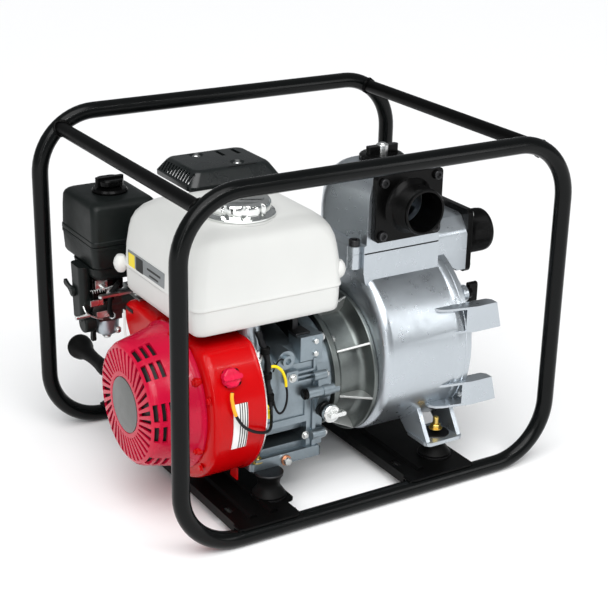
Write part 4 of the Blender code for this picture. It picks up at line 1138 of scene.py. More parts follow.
def air_cleaner():
    low, high = span("air_cleaner_cover")
    case_low = span("air_cleaner_case")[0]
    x_range, y_range = (low.x, high.x), (low.y, high.y)
    seam, top = low.z, high.z
    levels = [(seam + 0.4, 0.4, 9), (seam + 1.4, 0, 9), (seam + 6, 0.2, 9), (seam + 7, 1.0, 9),
              (top - 22, 1.4, 10),
              (top - 9, 2.0, 11), (top - 5, 3.4, 12), (top - 2.2, 6, 12), (top - 0.8, 9, 11),
              (top, 14, 10)]
    piece(loft(x_range, y_range, levels, 10, 12), "air_cleaner_lid", FINISH["plastic"],
          nodes=["air_cleaner_cover"])
    floor = case_low.z
    levels = [(floor, 7, 9), (floor + 1.5, 4, 10), (floor + 5, 2.2, 10), (seam - 5, 0.8, 10),
              (seam - 4, 0, 10),
              (seam - 0.4, 0, 10)]
    piece(loft(x_range, y_range, levels, 10, 12), "air_cleaner_base", FINISH["plastic"],
          nodes=["air_cleaner_case"])
    keep_node("air_filter_element", FINISH["filter"])
    turn = pivot("air_cleaner_nut_turn")
    centre = (turn.x, turn.y)
    nut_low, nut_high = span("air_cleaner_nut")
    seat = nut_low.z
    profile = [(0, seat), (23.6, seat), (24, seat + 2.4), (22, seat + 5.2), (17, seat + 6.6),
               (13, seat + 7.4),
               (11.5, seat + 10), (0, seat + 10)]
    collar = turned(profile, "Z", centre, 56)

    def scallops(angle, radius):
        return 1 - 0.14 * (0.5 + 0.5 * math.cos(angle * 4)) if radius > 9 else 1.0

    knob = turned([(0, seat + 8), (16, seat + 8), (18.6, seat + 10.4), (18.8, nut_high.z - 4),
                   (17, nut_high.z - 2.4),
                   (0, nut_high.z - 2.4)], "Z", centre, 96, scallops)
    wings = prism(rounded_rectangle((centre[0] - 20, centre[1] - 3.4),
                                    (centre[0] + 20, centre[1] + 3.4), 3.0), "Z",
                  seat + 8, nut_high.z)
    piece(merged(collar, join(knob, wings)), "air_cleaner_wing_nut", FINISH["shiny_plastic"],
          body="air_cleaner_nut",
          nodes=["air_cleaner_nut"], bevel=0.7, segments=2)


def carburetor():
    # The carburetor's dark cast finish is painted shade.
    keep_node("carburetor", FINISH["painted_shade_cast"], 0.9)
    carb_low = span("carburetor")[0]
    elbow_low, elbow_high = span("intake_elbow")
    levels = [(elbow_low.z, 6, 6), (elbow_low.z + 2, 3, 8), (elbow_low.z + 6, 1.2, 8),
              (elbow_low.z + 34, 0.6, 8),
              (elbow_high.z - 24, 0.6, 8), (elbow_high.z, 0, 8)]
    elbow = loft((elbow_low.x, elbow_high.x), (elbow_low.y, elbow_high.y), levels, 8, 6)
    piece(elbow, "intake_elbow_box", FINISH["plastic"], nodes=["intake_elbow"],
          bevel=1.4,
          segments=2)
    boot = loft((elbow_low.x + 12, -178), (84, 160),
                [(258, 12, 9), (264, 4, 12), (270, 1, 14), (278.4, 0, 14)], 14, 8)
    piece(boot, "air_cleaner_boot", FINISH["plastic"])

    low, high = span("float_bowl")
    centre = ((low.x + high.x) / 2, (low.y + high.y) / 2)
    reach = (high.x - low.x) / 2
    profile = [(0, low.z), (4.8, low.z), (5.2, low.z + 2.4), (reach - 5, low.z + 4),
               (reach - 1.6, low.z + 6),
               (reach - 0.4, low.z + 9.5), (reach, high.z - 6), (reach, high.z - 3),
               (reach + 1.2, high.z - 2.6),
               (reach + 1.2, high.z), (0, high.z)]
    bowl = turned(profile, "Z", centre, 56)
    piece(bowl, "float_bowl_cup", FINISH["cast"], nodes=["float_bowl"])
    screw = merged(hex_bolt("Z", centre, low.z + 0.5, -1, 5, 4.5),
                   hex_bolt("Y", (centre[0] + 10, low.z + 10), centre[1] - reach + 3, -1, 3.6, 5))
    piece(screw, "float_bowl_screws", FINISH["bright"], bevel=0.3, segments=2)

    front = carb_low.x
    parts = [block((-256, 98, 228), (-226, 102, 262)), block((-256, 98, 256), (-214, 122, 260)),
             rod(6, "Z", (-214, 108), 240, 254, 24, 0.8)]
    piece(merged(*parts), "control_plate", FINISH["shiny_plastic"], bevel=0.8, segments=2)
    bright = [block((-253, 95.4, 248), (-236, 97.6, 260)), block((-262, 92, 226), (-244, 94.4, 234)),
              rod(3.4, "Z", (-238, 108), 258, 266, 16, 0.6), rod(2.2, "Y", (-244, 250), 88, 98, 16, 0.4),
              hex_bolt("Y", (-232, 240), 98, -1, 4, 3.5), rod(3.0, "X", (98, 212), -282, -262, 16, 0.5),
              block((-252, 96, 206), (-234, 97.6, 215))]
    piece(merged(*bright), "linkage_fittings", FINISH["bright"], bevel=0.4, segments=2)
    rods = [swept(curve_through([(-244, 88, 250), (-230, 84, 254), (-223, 86, 254), (-221, 92, 252)]),
                  1.0, 8),
            swept(curve_through([(-268, 104, 224), (-266, 98, 216), (-254, 96, 208), (-244, 96, 204)]),
                  1.2, 8)]
    coil = []
    turns = 9
    for k in range(turns * 12 + 1):
        angle = TAU * k / 12
        coil.append((-260 + 30 * k / (turns * 12), 94 + 2.4 * math.cos(angle),
                     246 + 2.4 * math.sin(angle)))
    rods.append(swept(coil, 0.5, 6))
    piece(merged(*rods), "linkage_rods_and_spring", FINISH["steel"])
    hose = [(-216, 118, 196), (-228, 101, 204), (-236, 91, 222), (-236, 81, 246), (-232, 70, 262)]
    piece(swept(curve_through(hose), 3.4, 14), "fuel_hose", FINISH["rubber"])
    clamps = []
    for place, way in (((-228, 101, 204), Vector((-10, -13, 13))),
                       ((-236, 81, 246), Vector((2, -11, 20)))):
        ring = turned([(3.4, -1.6), (4.6, -1.6), (4.6, 1.6), (3.4, 1.6)], "Z", (0, 0), 24)
        turn = way.to_track_quat("Z", "Y").to_matrix().to_4x4()
        clamps.append(moved(ring, Matrix.Translation(place) @ turn))
    piece(merged(*clamps), "hose_clamps", FINISH["steel"])
    black = [turned([(0, 0), (11, 0), (13, 2), (13, 14), (11, 17), (0, 17)], "X", (110, 197), 32),
             turned([(0, 0), (9, 0), (10.5, 2), (10.5, 12), (8, 15), (0, 15)], "X", (112, 224), 32),
             rod(7, "Z", (-212, 136), 248, 266, 24, 1.0), block((-254, 132, 206), (-202, 148, 250))]
    for index in (0, 1):
        shifted(black[index], (front - 14, 0, 0))
    piece(merged(*black), "carburetor_covers", FINISH["plastic"], bevel=1.4,
          segments=2)


def flat_lever(node, name, finish, joint):
    """A moulded lever in a plane square to X: a thick hub and a paddle along the CAD lever."""
    low, high = span(node)
    hub = pivot(joint)
    centre = (low + high) / 2
    way = Vector((0, centre.y - hub.y, centre.z - hub.z)).normalized()
    side = Vector((0, -way.z, way.y))
    corners = [Vector(c) for c in ((0, low.y, low.z), (0, high.y, low.z), (0, low.y, high.z),
                                   (0, high.y, high.z))]
    flat_hub = Vector((0, hub.y, hub.z))
    length = min(max((c - flat_hub).dot(way) for c in corners), 27)
    outline = []
    for k in range(17):
        angle = math.pi / 2 + math.pi * k / 16
        outline.append(flat_hub + (way * math.cos(angle) + side * math.sin(angle)) * 7)
    for along, across in ((length * 0.45, -3.4), (length - 3, -4.6), (length, -2.6), (length, 2.6),
                          (length - 3, 4.6), (length * 0.45, 3.4)):
        outline.append(flat_hub + way * along + side * across)
    plate = prism([(p.y, p.z) for p in outline], "X", low.x + 1.2, high.x)
    rod_hub = rod(5.2, "X", (hub.y, hub.z), low.x, low.x + 2, 28, 0.4)
    piece(join(plate, rod_hub), name, FINISH[finish], body=node, nodes=[node], bevel=0.6,
          segments=2)


def controls():
    flat_lever("fuel_valve_lever", "fuel_valve_paddle", "plastic", "fuel_valve_turn")
    flat_lever("choke_lever", "choke_paddle", "plastic", "choke_lever_turn")
    keep_node("throttle_bracket", FINISH["steel"], 0.5)
    low, high = span("throttle_lever")
    hub = pivot("throttle_lever_turn")
    arm = prism(rounded_rectangle((low.x, hub.y - 3.6), (hub.x + 2, hub.y + 3.6), 3.5), "Z", low.z,
                high.z)
    join(arm, rod(9, "Z", (hub.x, hub.y), low.z, high.z, 40))
    join(arm, prism(rounded_rectangle((low.x, hub.y - 4), (low.x + 14, hub.y + 4), 3.9), "Z", low.z,
                    high.z))
    cut(arm, rod(4.3, "Z", (hub.x, hub.y), low.z - 3, high.z + 3, 24))
    cut(arm, rod(1.8, "Z", (hub.x - 26, hub.y), low.z - 3, high.z + 3, 16))
    piece(arm, "throttle_arm", FINISH["steel"], body="throttle_lever", nodes=["throttle_lever"],
          bevel=0.5, segments=2)


def exhaust():
    low, high = span("muffler_guard")
    levels = [(low.z, 0.6, 12), (low.z + 1.2, 0, 12), (low.z + 6.4, 0, 12), (low.z + 7.6, 0.8, 12),
              (high.z - 4.2, 9.4, 12),
              (high.z - 2.4, 11, 12), (high.z - 0.8, 13, 11), (high.z, 16, 10)]
    hollow = [(low.z - 5, 2.4, 10), (low.z + 7, 2.4, 10), (high.z - 3.4, 13, 9)]
    guard = loft((low.x, high.x), (low.y, high.y), levels, 12, 10)
    cut(guard, loft((low.x, high.x), (low.y, high.y), hollow, 9, 8))
    slots = []
    count = 12
    for k in range(count):
        y = low.y + 13 + (high.y - low.y - 26) * k / (count - 1)
        slots.append(block((low.x - 5, y - 2.0, low.z + 8.4), (low.x + 13, y + 2.0, high.z - 3.6)))
    cut(guard, merged(*slots))
    top_slots = []
    for x in (-46, -22):
        top_slots.append(block((x, high.y - 46, high.z - 6), (x + 6, high.y - 22, high.z + 5)))
    cut(guard, merged(*top_slots))
    wells = [(-76.0, high.y - 26.0), (-42.0, low.y + 29.0)]
    for x, y in wells:
        cut(guard, turned([(0, high.z - 2.4), (8, high.z - 2.4), (11.5, high.z + 1), (11.5, high.z + 5),
                           (0, high.z + 5)],
                          "Z", (x, y), 36))
    piece(guard, "muffler_guard_shell", FINISH["guard"], nodes=["muffler_guard"],
          bevel=0.5,
          segments=2)
    bolts = [hex_bolt("Z", place, high.z - 2.6, 1, 4.4, 2.2) for place in wells]
    piece(merged(*bolts), "muffler_guard_bolts", FINISH["steel"], bevel=0.3, segments=2)
    ridge = block((-66, low.y + 12.5, high.z - 2.6), (-20, low.y + 17, high.z - 0.4))
    piece(ridge, "muffler_guard_ridge", FINISH["shiny_plastic"], bevel=0.8,
          segments=2)
    keep_node("muffler", FINISH["dark_steel"])
    outlet = turned([(8, -8), (12, -8), (12, 12), (10.5, 12), (8, 6)], "X", (150, 318), 32)
    piece(outlet, "exhaust_outlet", FINISH["dark_steel"])


# ---------------------------------------------------------------- pump

def clamp_arm(z_range, side, centre):
    """Two pointed fins and the plate between them, running forward past the cover."""
    low, high = z_range
    plate = 3.2
    outer, inner, tip = 130.0, 112.0, 204.0
    nearest = min(abs(low - centre[1]), abs(high - centre[1]))
    root = math.sqrt(100 ** 2 - nearest ** 2)
    outline = [(108, 110), (113, 117), (122, 121), (163, outer), (tip, outer), (tip, outer - 7),
               (tip - 9, outer - 12),
               (tip - 14, inner), (161, inner - 2), (157, root), (108, root)]
    outline = [(x, centre[0] + side * out) for x, out in outline]
    arm = prism(outline, "Z", low, high)
    hole = sorted((centre[0] + side * (outer - plate), centre[0]))
    cut(arm, block((90, hole[0], low + plate), (tip + 9, hole[1], high - plate)))
    sweep = [(tip - 9, high + 1), (tip + 9, high + 1), (tip + 9, low - 1), (tip, low - 1)]
    ends = sorted((centre[0] + side * (outer + 5), centre[0] + side * 60))
    cut(arm, prism(sweep, "Y", *ends))
    return arm


def pump_foot(centre_y, drum_y):
    """The plate on a rubber mount, and two struts up to the drum."""
    base = span("pump_body")[0].z
    plate = prism(rounded_rectangle((96, centre_y - 26), (157, centre_y + 26), 9), "Z", base, base + 5)
    inward = 1 if centre_y < drum_y else -1
    web = [(centre_y - 24 * inward, base + 2), (centre_y + 25 * inward, base + 2),
           (centre_y + 41 * inward, base + 15),
           (centre_y + 30 * inward, 120), (centre_y + 4 * inward, 98),
           (centre_y - 15 * inward, base + 15)]
    return join(plate, prism(web, "X", 148.5, 154.5), prism(web, "X", 98, 104))


def pump_body():
    cover_low = span("pump_cover")[0]
    cover_high = span("pump_cover")[1]
    suction_low = span("suction_flange")[0]
    rear, front = 23.0, cover_low.x - 0.3
    centre = ((cover_low.y + cover_high.y) / 2, (cover_low.z + cover_high.z) / 2)
    radius = 127.0
    band = 142.0
    outside = [(0, rear), (radius - 16, rear), (radius - 10, rear + 0.8), (radius - 5, rear + 3.4),
               (radius - 1.8, rear + 7.4),
               (radius, rear + 13), (radius, band - 5), (radius + 0.4, band - 2),
               (radius + 1.5, band + 0.6),
               (radius + 1.5, band + 6.2), (radius + 0.7, band + 7), (radius + 0.7, band + 8.2),
               (radius + 1.5, band + 9),
               (radius + 1.5, front - 2), (radius - 0.5, front), (0, front)]
    body = turned(outside, "X", centre, 144)
    (left, right), (near, far) = NECK_X, NECK_Y
    top = span("discharge_casting")[0].z - 0.3
    neck = prism([(left, top), (right, top), (right, 258.5), (left + 22, 258.5), (left + 3, 282),
                  (left, 296)], "Y",
                 near, far)
    join(body, neck)
    join(body, rod(9, "Z", LUG_XY, top - 20, top, 32))
    inlet_near, inlet_far = -117.0, -27.0
    roof = [(inlet_near, 268), (inlet_near, 318), (inlet_near + 3, 325), (inlet_near + 16, 340.5),
            (inlet_near + 23, 343),
            (inlet_far - 23, 343), (inlet_far - 16, 340.5), (inlet_far - 3, 325), (inlet_far, 318),
            (inlet_far, 268)]
    inlet = prism(roof, "X", right + 0.6, suction_low.x - 0.3)
    under = [(front - 2, 240), (front - 2, 283), (front + 6, 283), (front + 7.5, 276),
             (front + 21, 270), (front + 21, 240)]
    cut(inlet, prism(under, "Y", inlet_near - 5, inlet_far + 5))
    join(body, inlet)
    for z_range in ((209.0, 245.0), (103.0, 137.0)):
        for side in (-1, 1):
            join(body, clamp_arm(z_range, side, centre))
    for node in ("pump_mount_near", "pump_mount_far"):
        mount_low, mount_high = span(node)
        join(body, pump_foot((mount_low.y + mount_high.y) / 2, centre[0]))
    inner = radius - 5
    room = [(0, rear + 6), (inner - 8, rear + 6), (inner, rear + 14), (inner, 114), (0, 114)]
    cut(body, turned(room, "X", centre, 96))
    front_room = [(0, 120), (inner, 120), (inner, front - 10), (96, front - 10), (96, front + 5),
                  (0, front + 5)]
    cut(body, turned(front_room, "X", centre, 96))
    cut(body, rod(70.3, "X", (CRANK.y, CRANK.z), 108, 126, 64))
    cut(body, block((left + 8, near + 8, 270), (right - 16, far - 8, top + 5)))
    inside_x = suction_low.x - 4.3
    chamber = [(right + 6, 285.5), (front + 5.5, 285.5), (front + 9.5, 279.5), (front + 16, 276),
               (inside_x, 274.5),
               (inside_x, 338), (right + 6, 338)]
    cut(body, prism(chamber, "Y", inlet_near + 15, inlet_far - 15))
    flap = span("suction_flap")
    suction_centre = ((flap[0].y + flap[1].y) / 2, (span("suction_flange")[0].z + 40.5))
    cut(body, rod(22, "X", suction_centre, inside_x - 4, inside_x + 12, 48))
    cut(body, rod(14, "X", (CRANK.y, CRANK.z), rear - 5, rear + 12, 48))
    piece(body, "pump_body_casting", FINISH["drum"], nodes=["pump_body"],
          bevel=1.8, segments=3,
          angle=28)


def adapter():
    low, high = span("pump_adapter")
    axis = (CRANK.y, CRANK.z)
    outer = [(69, low.x), (82, low.x), (82, low.x + 8), (80.5, low.x + 9.4), (77.5, low.x + 10.6),
             (76, low.x + 14),
             (76.5, high.x - 16), (79, high.x - 11), (84, high.x - 8), (91, high.x - 6.6),
             (97.6, high.x - 6.2),
             (99, high.x - 5), (99, high.x), (66, high.x)]
    # The bell's dark cast finish is painted shade.
    piece(turned(outer, "X", axis, 128), "pump_adapter_bell", FINISH["painted_shade_cast"],
          nodes=["pump_adapter"],
          bevel=1.2, segments=2)
    ribs = []
    count = 8
    for k in range(count):
        outline = [(low.x + 10, 74), (low.x + 10, 79.5), (low.x + 14, 81), (high.x - 5.4, 98.4),
                   (high.x - 5.4, 74)]
        rib = prism(outline, "Y", -1.6, 1.6)
        angle = TAU * (k + 0.3) / count
        ribs.append(moved(rib, Matrix.Translation((0, *axis)) @ Matrix.Rotation(angle, 4, "X")))
    # The gussets' lighter cast finish is a painted highlight.
    piece(merged(*ribs), "pump_adapter_gussets", FINISH["painted_lit_rib_cast"], bevel=0.6,
          segments=2)
    bolts = []
    for k in range(4):
        angle = TAU * (k + 0.5) / 4
        place = (axis[0] + 74 * math.cos(angle), axis[1] + 74 * math.sin(angle))
        bolts.append(hex_bolt("X", place, low.x + 10, 1, 5, 5))
    piece(merged(*bolts), "adapter_bolts", FINISH["steel"], bevel=0.3, segments=2)


def pump_cover():
    low, high = span("pump_cover")
    centre = ((low.y + high.y) / 2, (low.z + high.z) / 2)
    seat = low.x
    knobs = ["clamp_knob_upper_near", "clamp_knob_upper_far", "clamp_knob_lower_near",
             "clamp_knob_lower_far"]
    places = [(pivot(knob + "_turn").y, pivot(knob + "_turn").z) for knob in knobs]
    profile = [(102, seat), (102, seat + 4), (101, seat + 5.2), (95.5, seat + 6), (93.6, seat + 8),
               (92.6, seat + 14),
               (88.6, 185), (86, 191), (82, 195.4), (76, 198), (62, 198), (60, 196.6), (38, 196.6),
               (36, 198), (0, 198),
               (0, 194), (74, 193.5), (78, 190), (88, seat + 2), (88, seat)]
    cover = turned(profile, "X", centre, 144)
    for y, z in places:
        join(cover, rod(11.5, "X", (y, z), seat, seat + 8, 32))
        way = Vector((y - centre[0], z - centre[1])).normalized()
        side = Vector((-way.y, way.x))
        ear = [Vector(centre) + way * 84 + side * 15, Vector((y, z)) + side * 11,
               Vector((y, z)) - side * 11,
               Vector(centre) + way * 84 - side * 15]
        join(cover, prism([tuple(p) for p in ear], "X", seat, seat + 7.4))
    for k in range(6):
        angle = TAU * (k + 0.5) / 6
        rib = block((192, -2, 40), (200.5, 2, 74))
        turn = Matrix.Translation((0, *centre)) @ Matrix.Rotation(angle, 4, "X")
        join(cover, moved(rib, turn))
    piece(cover, "pump_cover_casting", FINISH["drum"], nodes=["pump_cover"],
          bevel=1.2, segments=2)

    for knob in knobs:
        knob_low, knob_high = span(knob)
        y, z = pivot(knob + "_turn").y, pivot(knob + "_turn").z
        start = knob_low.x
        hub = turned([(0, start), (9, start), (9.4, start + 1), (8.4, start + 8), (0, start + 8)], "X",
                     (y, z), 40)
        outline = [(y + a, z + b) for a, b in rounded_rectangle((-4.2, -14), (4.2, 14), 3.8, 6)]
        wing = prism(outline, "X", start + 5.4, knob_high.x)
        stud = rod(3.6, "X", (y, z), start + 6, knob_high.x + 0.0, 20, 0.5)
        piece(merged(join(hub, wing)), knob + "_grip", FINISH["shiny_plastic"], body=knob, nodes=[knob],
              bevel=1.2, segments=3)
        piece(stud, knob + "_stud", FINISH["bright"], body=knob)

    plug_low, plug_high = span("pump_drain_plug")
    place = (pivot("pump_drain_turn").y, pivot("pump_drain_turn").z)
    plug = turned([(0, plug_low.x), (12, plug_low.x), (12.4, plug_low.x + 1), (12, plug_low.x + 5),
                   (11, plug_low.x + 6),
                   (0, plug_low.x + 6)], "X", place, 48)
    square = prism([(place[0] + a, place[1] + b) for a,
                    b in rounded_rectangle((-6, -6), (6, 6), 1.2, 4)], "X",
                   plug_low.x + 4, plug_high.x)
    piece(join(plug, square), "pump_drain_plug_head", FINISH["steel"], body="pump_drain_plug",
          nodes=["pump_drain_plug"], bevel=0.6, segments=2)


def discharge():
    low, high = span("discharge_casting")
    priming = pivot("priming_cap_turn")
    flange_low, flange_high = span("discharge_flange")
    (left, right), (near, far) = NECK_X, NECK_Y
    corner = 36.0
    outline = [(left, near), (right, near)]
    steps = 12
    for quarter, x in ((0, right - corner), (1, left + corner)):
        for k in range(steps + 1):
            angle = math.pi / 2 * (quarter + k / steps)
            outline.append((x + corner * math.cos(angle), far - corner + corner * math.sin(angle)))
    middle = Vector(((left + right) / 2, (near + far) / 2))

    def ring(z, inset, far_inset=None):
        """The neck's outline drawn in; the far side may draw in more than the rest."""
        points = []
        back = inset if far_inset is None else far_inset
        for x, y in outline:
            way = Vector((x, y)) - middle
            points.append((x - inset * (1 if way.x > 0 else -1), y - (back if way.y > 0 else -0.0), z))
        return points

    casting = skin([ring(low.z, 0), ring(low.z + 10, 0), ring(low.z + 11.5, 3.2), ring(low.z + 34, 3.4),
                    ring(high.z - 46, 4, 6), ring(high.z - 26, 5, 14), ring(high.z - 12, 8, 24),
                    ring(high.z - 5, 12, 32),
                    ring(high.z - 2, 15, 38), ring(high.z - 0.6, 18, 44)])
    join(casting, rod(9, "Z", LUG_XY, low.z, low.z + 9.7, 32))
    join(casting, rod(33, "Z", (priming.x, priming.y), high.z - 30, high.z, 64))
    inside = [(x, y) for x, y, z in ring(0, 9)]
    inside = [(x, max(y, near + 9)) for x, y in inside]
    cut(casting, prism(inside, "Z", low.z - 5, high.z - 52))
    port = ((flange_low.x + flange_high.x) / 2, (flange_low.z + flange_high.z) / 2)
    cut(casting, rod(26, "Y", port, near - 5, near + 60, 64))
    piece(casting, "discharge_elbow", FINISH["drum"], nodes=["discharge_casting"],
          bevel=1.5,
          segments=3, angle=28)

    seal = prism([(x, y) for x, y, z in ring(0, 0.8)], "Z", low.z - 1.0, low.z + 0.9)
    piece(seal, "neck_gasket", FINISH["dark_mark_and_shade"])
    parts = [socket_bolt("Z", LUG_XY, low.z + 9.7, 1, 7.4, 8.5)]
    for place in ((112.0, far - 6.0), (44.0, far - 6.0)):
        parts.append(socket_bolt("Z", place, low.z + 9.7, 1, 5.2, 6.0))
    piece(merged(*parts), "discharge_elbow_bolts", FINISH["dark_steel"], bevel=0.5,
          segments=2)

    seat, face = flange_high.y, flange_high.y - 10
    x, z = port
    plate = prism(rounded_rectangle((flange_low.x, flange_low.z), (flange_high.x, flange_high.z), 6, 8),
                  "Y", face, seat)
    outer = [(26, seat), (41, seat), (39, face + 1), (35.5, face - 2.2), (31.8, face - 5.4)]
    thread_start = face - 8
    pitch = 2.3
    end = flange_low.y
    count = int((thread_start - end - 2.5) / pitch)
    outer.append((30.9, thread_start))
    for k in range(count):
        at = thread_start - k * pitch
        outer += [(30.15, at - 0.5), (30.15, at - 1.0), (29.2, at - 1.6), (29.2, at - 1.9)]
    outer += [(29.6, end + 1.2), (28.9, end), (26.6, end), (26, end + 0.6)]
    join(plate, turned(outer, "Y", port, 96))
    cut(plate, rod(26, "Y", port, end - 5, seat + 5, 96))
    piece(plate, "discharge_flange_pipe", FINISH["shiny_plastic"], nodes=["discharge_flange"],
          bevel=1.0, segments=3, angle=50)
    bolts = []
    for a in (flange_low.x + 10, flange_high.x - 10):
        for b in (flange_low.z + 9, flange_high.z - 9):
            bolts.append(socket_bolt("Y", (a, b), face, -1, 6.2, 4.6))
    piece(merged(*bolts), "discharge_flange_bolts", FINISH["dark_steel"], bevel=0.3,
          segments=2)


def priming_cap():
    low, high = span("priming_cap")
    turn = pivot("priming_cap_turn")
    centre = (turn.x, turn.y)
    seat = turn.z + 0.3

    def knurl(angle, radius):
        return 1 - 0.025 * (0.5 + 0.5 * math.cos(angle * 24)) if radius > 28.5 else 1.0

    profile = [(0, low.z), (21, low.z), (21, seat), (30, seat), (30, seat + 5.6), (29, seat + 7),
               (26, seat + 8.6),
               (21, seat + 9), (19, seat + 7.6), (0, seat + 7.6)]
    cap = turned(profile, "Z", centre, 144, knurl)
    bar = prism(rounded_rectangle((centre[0] - 24, centre[1] - 5), (centre[0] + 24, centre[1] + 5),
                                  4.6), "Z", seat + 6.5,
                high.z - 3)
    piece(join(cap, bar), "priming_cap_cover", FINISH["shiny_plastic"], body="priming_cap",
          nodes=["priming_cap"],
          bevel=1.0, segments=3)
    stud = merged(rod(8, "Z", centre, seat + 6, high.z - 1.6, 36, 0.8),
                  rod(5, "Z", centre, high.z - 2.4, high.z, 28, 0.8))
    piece(stud, "priming_cap_stud", FINISH["bright"], body="priming_cap")


def suction():
    low, high = span("suction_flange")
    flap_low, flap_high = span("suction_flap")
    centre = ((flap_low.y + flap_high.y) / 2, low.z + 40.5)
    seat = low.x
    face = seat + 8
    end = high.x
    plate = prism(rounded_rectangle((low.y, low.z), (high.y, high.z), 8, 8), "X", seat, face)
    outer = [(26, seat), (39, seat), (38, face - 0.5), (34.6, face + 2.2), (31.8, face + 6),
             (30.9, face + 9)]
    pitch = 2.3
    start = face + 10
    for k in range(int((end - start - 2.5) / pitch)):
        at = start + k * pitch
        outer += [(30.15, at + 0.5), (30.15, at + 1.0), (29.2, at + 1.6), (29.2, at + 1.9)]
    outer += [(29.6, end - 1.2), (28.9, end), (26.6, end), (26, end - 0.6)]
    join(plate, turned(outer, "X", centre, 96))
    cut(plate, rod(26, "X", centre, seat - 5, end + 5, 96))
    piece(plate, "suction_flange_pipe", FINISH["shiny_plastic"], nodes=["suction_flange"],
          bevel=1.0, segments=3, angle=50)
    bolts = []
    for y in (low.y + 9, high.y - 9):
        for z in (low.z + 9, high.z - 9):
            bolts.append(socket_bolt("X", (y, z), face, 1, 5.2, 4.2))
    piece(merged(*bolts), "suction_flange_bolts", FINISH["steel"], bevel=0.3, segments=2)
    keep_node("suction_flap", FINISH["rubber"], 0.4)


def inner_parts():
    # The volute, impeller and flywheel take the dark cast finish, which is painted shade.
    for node in ("inner_volute", "impeller", "flywheel"):
        keep_node(node, FINISH["painted_shade_cast"])
    keep_node("piston", FINISH["bright"])
    keep_node("crankshaft", FINISH["steel"])
    keep_node("shaft_seal", FINISH["rubber"])


# ---------------------------------------------------------------- wiring and small trim

def wiring():
    wire = [(-199, -181, 199), (-201, -184, 193), (-201, -186.5, 186), (-200, -188.3, 178),
            (-197.5, -189.4, 170),
            (-193.5, -190, 162.5), (-188, -190, 155), (-181, -190, 149), (-173, -189.7, 144),
            (-164, -189, 140.2),
            (-155, -187, 137.5), (-147, -182, 136.3), (-140, -174, 136.2), (-134.5, -165.5, 137.3),
            (-129.5, -157, 140),
            (-126, -150.5, 145.5), (-124, -146, 152), (-123, -144, 160), (-124, -143, 168)]
    line = curve_through(wire)
    lead = piece(swept(line, 2.0, 14), "switch_lead", FINISH["black_wire"], nodes=["switch_wire"])
    sleeve_end = 8 * 4
    sleeve = piece(swept(line[1:sleeve_end], 2.25, 14), "switch_lead_sleeve", FINISH["orange_wire"])
    harness = [(-138, -136, 250), (-136, -141, 238), (-132, -145, 224), (-130, -147, 208),
               (-131, -147.5, 192),
               (-129, -147, 176), (-126, -146, 160), (-125, -145, 150)]
    piece(swept(curve_through(harness), 4.2, 16, swell=lambda i: 1 + 0.10 * math.sin(i * 0.8)),
          "main_harness",
          FINISH["black_wire"])
    wraps = []
    for place in ((-132.3, -144.6, 226), (-130.8, -147.4, 193), (-126.5, -146.2, 162)):
        wraps.append(rod(6.2, "Z", (place[0], place[1]), place[2] - 5, place[2] + 5, 28, 1.2))
    piece(merged(*wraps), "harness_tape", FINISH["rubber"])
    yellow = [(-128, -147, 204), (-120, -150.5, 204), (-112, -151.5, 197), (-106.5, -151.5, 184),
              (-105, -151, 174)]
    piece(swept(curve_through(yellow), 2.0, 12), "sensor_lead_yellow", FINISH["yellow_wire"])
    black = [(-105, -151, 175), (-103.6, -151.5, 164), (-104.6, -152, 152), (-108.6, -151.5, 141),
             (-114, -150, 138),
             (-119, -149, 146), (-122, -148, 158), (-124, -147, 172)]
    piece(swept(curve_through(black), 1.5, 12), "sensor_lead_black", FINISH["black_wire"])
    thin = [(-122, -147, 196), (-118, -148, 206), (-112, -148, 211), (-104, -147.5, 208)]
    piece(swept(curve_through(thin), 1.0, 10), "sensor_lead_thin", FINISH["black_wire"])
    post = turned([(0, 216), (15, 216), (15, 238), (13.5, 242), (13.5, 258), (0, 258)], "Z",
                  (-140, -118), 36)
    piece(post, "tank_support_post", FINISH["cast"], bevel=1.0, segments=2)
    plug = block((-150, -147, 219), (-141, -139, 228))
    piece(plug, "lead_connector", FINISH["bright"], bevel=1.0, segments=2)
    tag = merged(block((-134, -151, 134), (-127, -146, 146)),
                 rod(4.5, "Y", (-133, 150), -150, -140, 24, 0.6))
    piece(tag, "oil_switch_connector", FINISH["yellow_label"], bevel=0.8, segments=2)
    strut = block((-2, -2, -22), (2, 2, 22))
    turn = Matrix.Translation((-141, -141, 206)) @ Matrix.Rotation(math.radians(28), 4, "Y")
    piece(moved(strut, turn), "linkage_strut", FINISH["bright"], bevel=0.6, segments=2)


def under_tank():
    """The brackets between the crankcase and the tank, and a flat dark plate under the tank that is
    painted shade.
    """
    plate = prism([(-120, 216), (-44, 236), (20, 240), (20, 258), (-120, 258)], "X", -78, -70)
    piece(plate, "tank_rear_bracket", FINISH["dark_steel"], bevel=1.0, segments=2)
    wedge = prism([(-82, 234), (-60, 234), (-66, 198)], "Y", -134, -112)
    piece(wedge, "governor_bracket", FINISH["dark_steel"], bevel=0.8, segments=2)
    # A flat dark plate under the tank: painted shade.
    low, high = span("fuel_tank")
    tray = prism(rounded_rectangle((low.x + 30, low.y + 34), (high.x - 26, high.y - 30), 14), "Z",
                 low.z - 5, low.z + 1)
    piece(tray, "tank_underside_painted_shade", FINISH["dark_steel"], bevel=1.0, segments=2)


# ---------------------------------------------------------------- studio

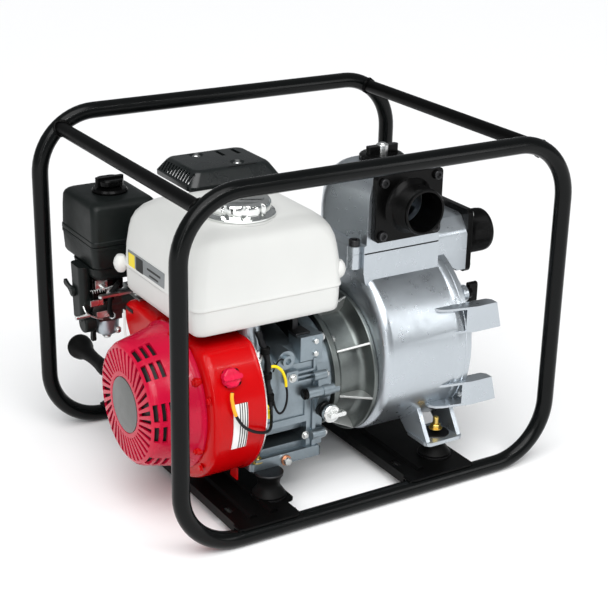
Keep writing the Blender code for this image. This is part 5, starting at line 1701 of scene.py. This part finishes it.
def studio():
    floor_size = 40.0
    bm = bmesh.new()
    half = floor_size / 2
    bm.faces.new([bm.verts.new(p) for p in ((-half, -half, 0), (half, -half, 0), (half, half, 0),
                                            (-half, half, 0))])
    floor = to_object(bm)
    floor.name = "floor"
    pale = base_finish("pale_floor", (0.92, 0.92, 0.92), 0.8, Specular_IOR_Level=0.0)
    floor.data.materials.append(pale)

    world = bpy.data.worlds.new("studio")
    world.use_nodes = True
    background = world.node_tree.nodes["Background"]
    background.inputs["Color"].default_value = (0.94, 0.97, 1.0, 1.0)
    background.inputs["Strength"].default_value = 0.26
    bpy.context.scene.world = world

    target = Vector((0, -0.05, 0.22))
    sun = bpy.data.lights.new("soft_sun", "SUN")
    sun.energy = 3.0
    sun.angle = math.radians(60)
    lamp = bpy.data.objects.new("soft_sun", sun)
    lamp.rotation_euler = Vector((0.35, 0.55, -1.0)).to_track_quat("-Z", "Y").to_euler()
    bpy.context.scene.collection.objects.link(lamp)
    for name, place, size, power in (("softbox_left", (-2.6, -1.2, 1.5), (0.5, 2.0), 6.0),
                                     ("softbox_right", (1.9, -2.6, 1.4), (0.5, 1.6), 10.0),
                                     ("strip_over", (-0.2, -1.9, 2.2), (2.8, 0.035), 14.0),
                                     ("strip_left", (-1.9, -2.0, 1.1), (0.03, 2.2), 8.0)):
        light = bpy.data.lights.new(name, "AREA")
        light.shape = "RECTANGLE"
        light.size, light.size_y = size
        light.energy = power
        lamp = bpy.data.objects.new(name, light)
        lamp.location = place
        lamp.rotation_euler = (target - Vector(place)).to_track_quat("-Z", "Y").to_euler()
        bpy.context.scene.collection.objects.link(lamp)


def camera():
    ahead = Vector((-math.sin(CAMERA_AZIMUTH) * math.cos(CAMERA_ELEVATION),
                    math.cos(CAMERA_AZIMUTH) * math.cos(CAMERA_ELEVATION), -math.sin(CAMERA_ELEVATION)))
    data = bpy.data.cameras.new("camera")
    data.lens = CAMERA_LENS
    data.sensor_width = 36.0
    eye = bpy.data.objects.new("camera", data)
    eye.rotation_mode = "QUATERNION"
    roll = Matrix.Rotation(CAMERA_ROLL, 3, "Z")
    eye.rotation_quaternion = (ahead.to_track_quat("-Z", "Y").to_matrix() @ roll).to_quaternion()
    eye.location = CAMERA_PLACE
    bpy.context.scene.collection.objects.link(eye)
    bpy.context.scene.camera = eye


bpy.context.scene.view_settings.view_transform = "Standard"
camera()
studio()
loops()
cross_bars()
cross_members()
rubber_mounts()
mount_fasteners()
crankcase()
side_cover()
oil_cap()
drain_bolt()
cylinder()
blower()
recoil_cover()
grip_and_rope()
engine_switch()
shroud_labels()
fuel_tank()
fuel_cap()
air_cleaner()
carburetor()
controls()
exhaust()
pump_body()
adapter()
pump_cover()
discharge()
priming_cap()
suction()
inner_parts()
wiring()
under_tank()
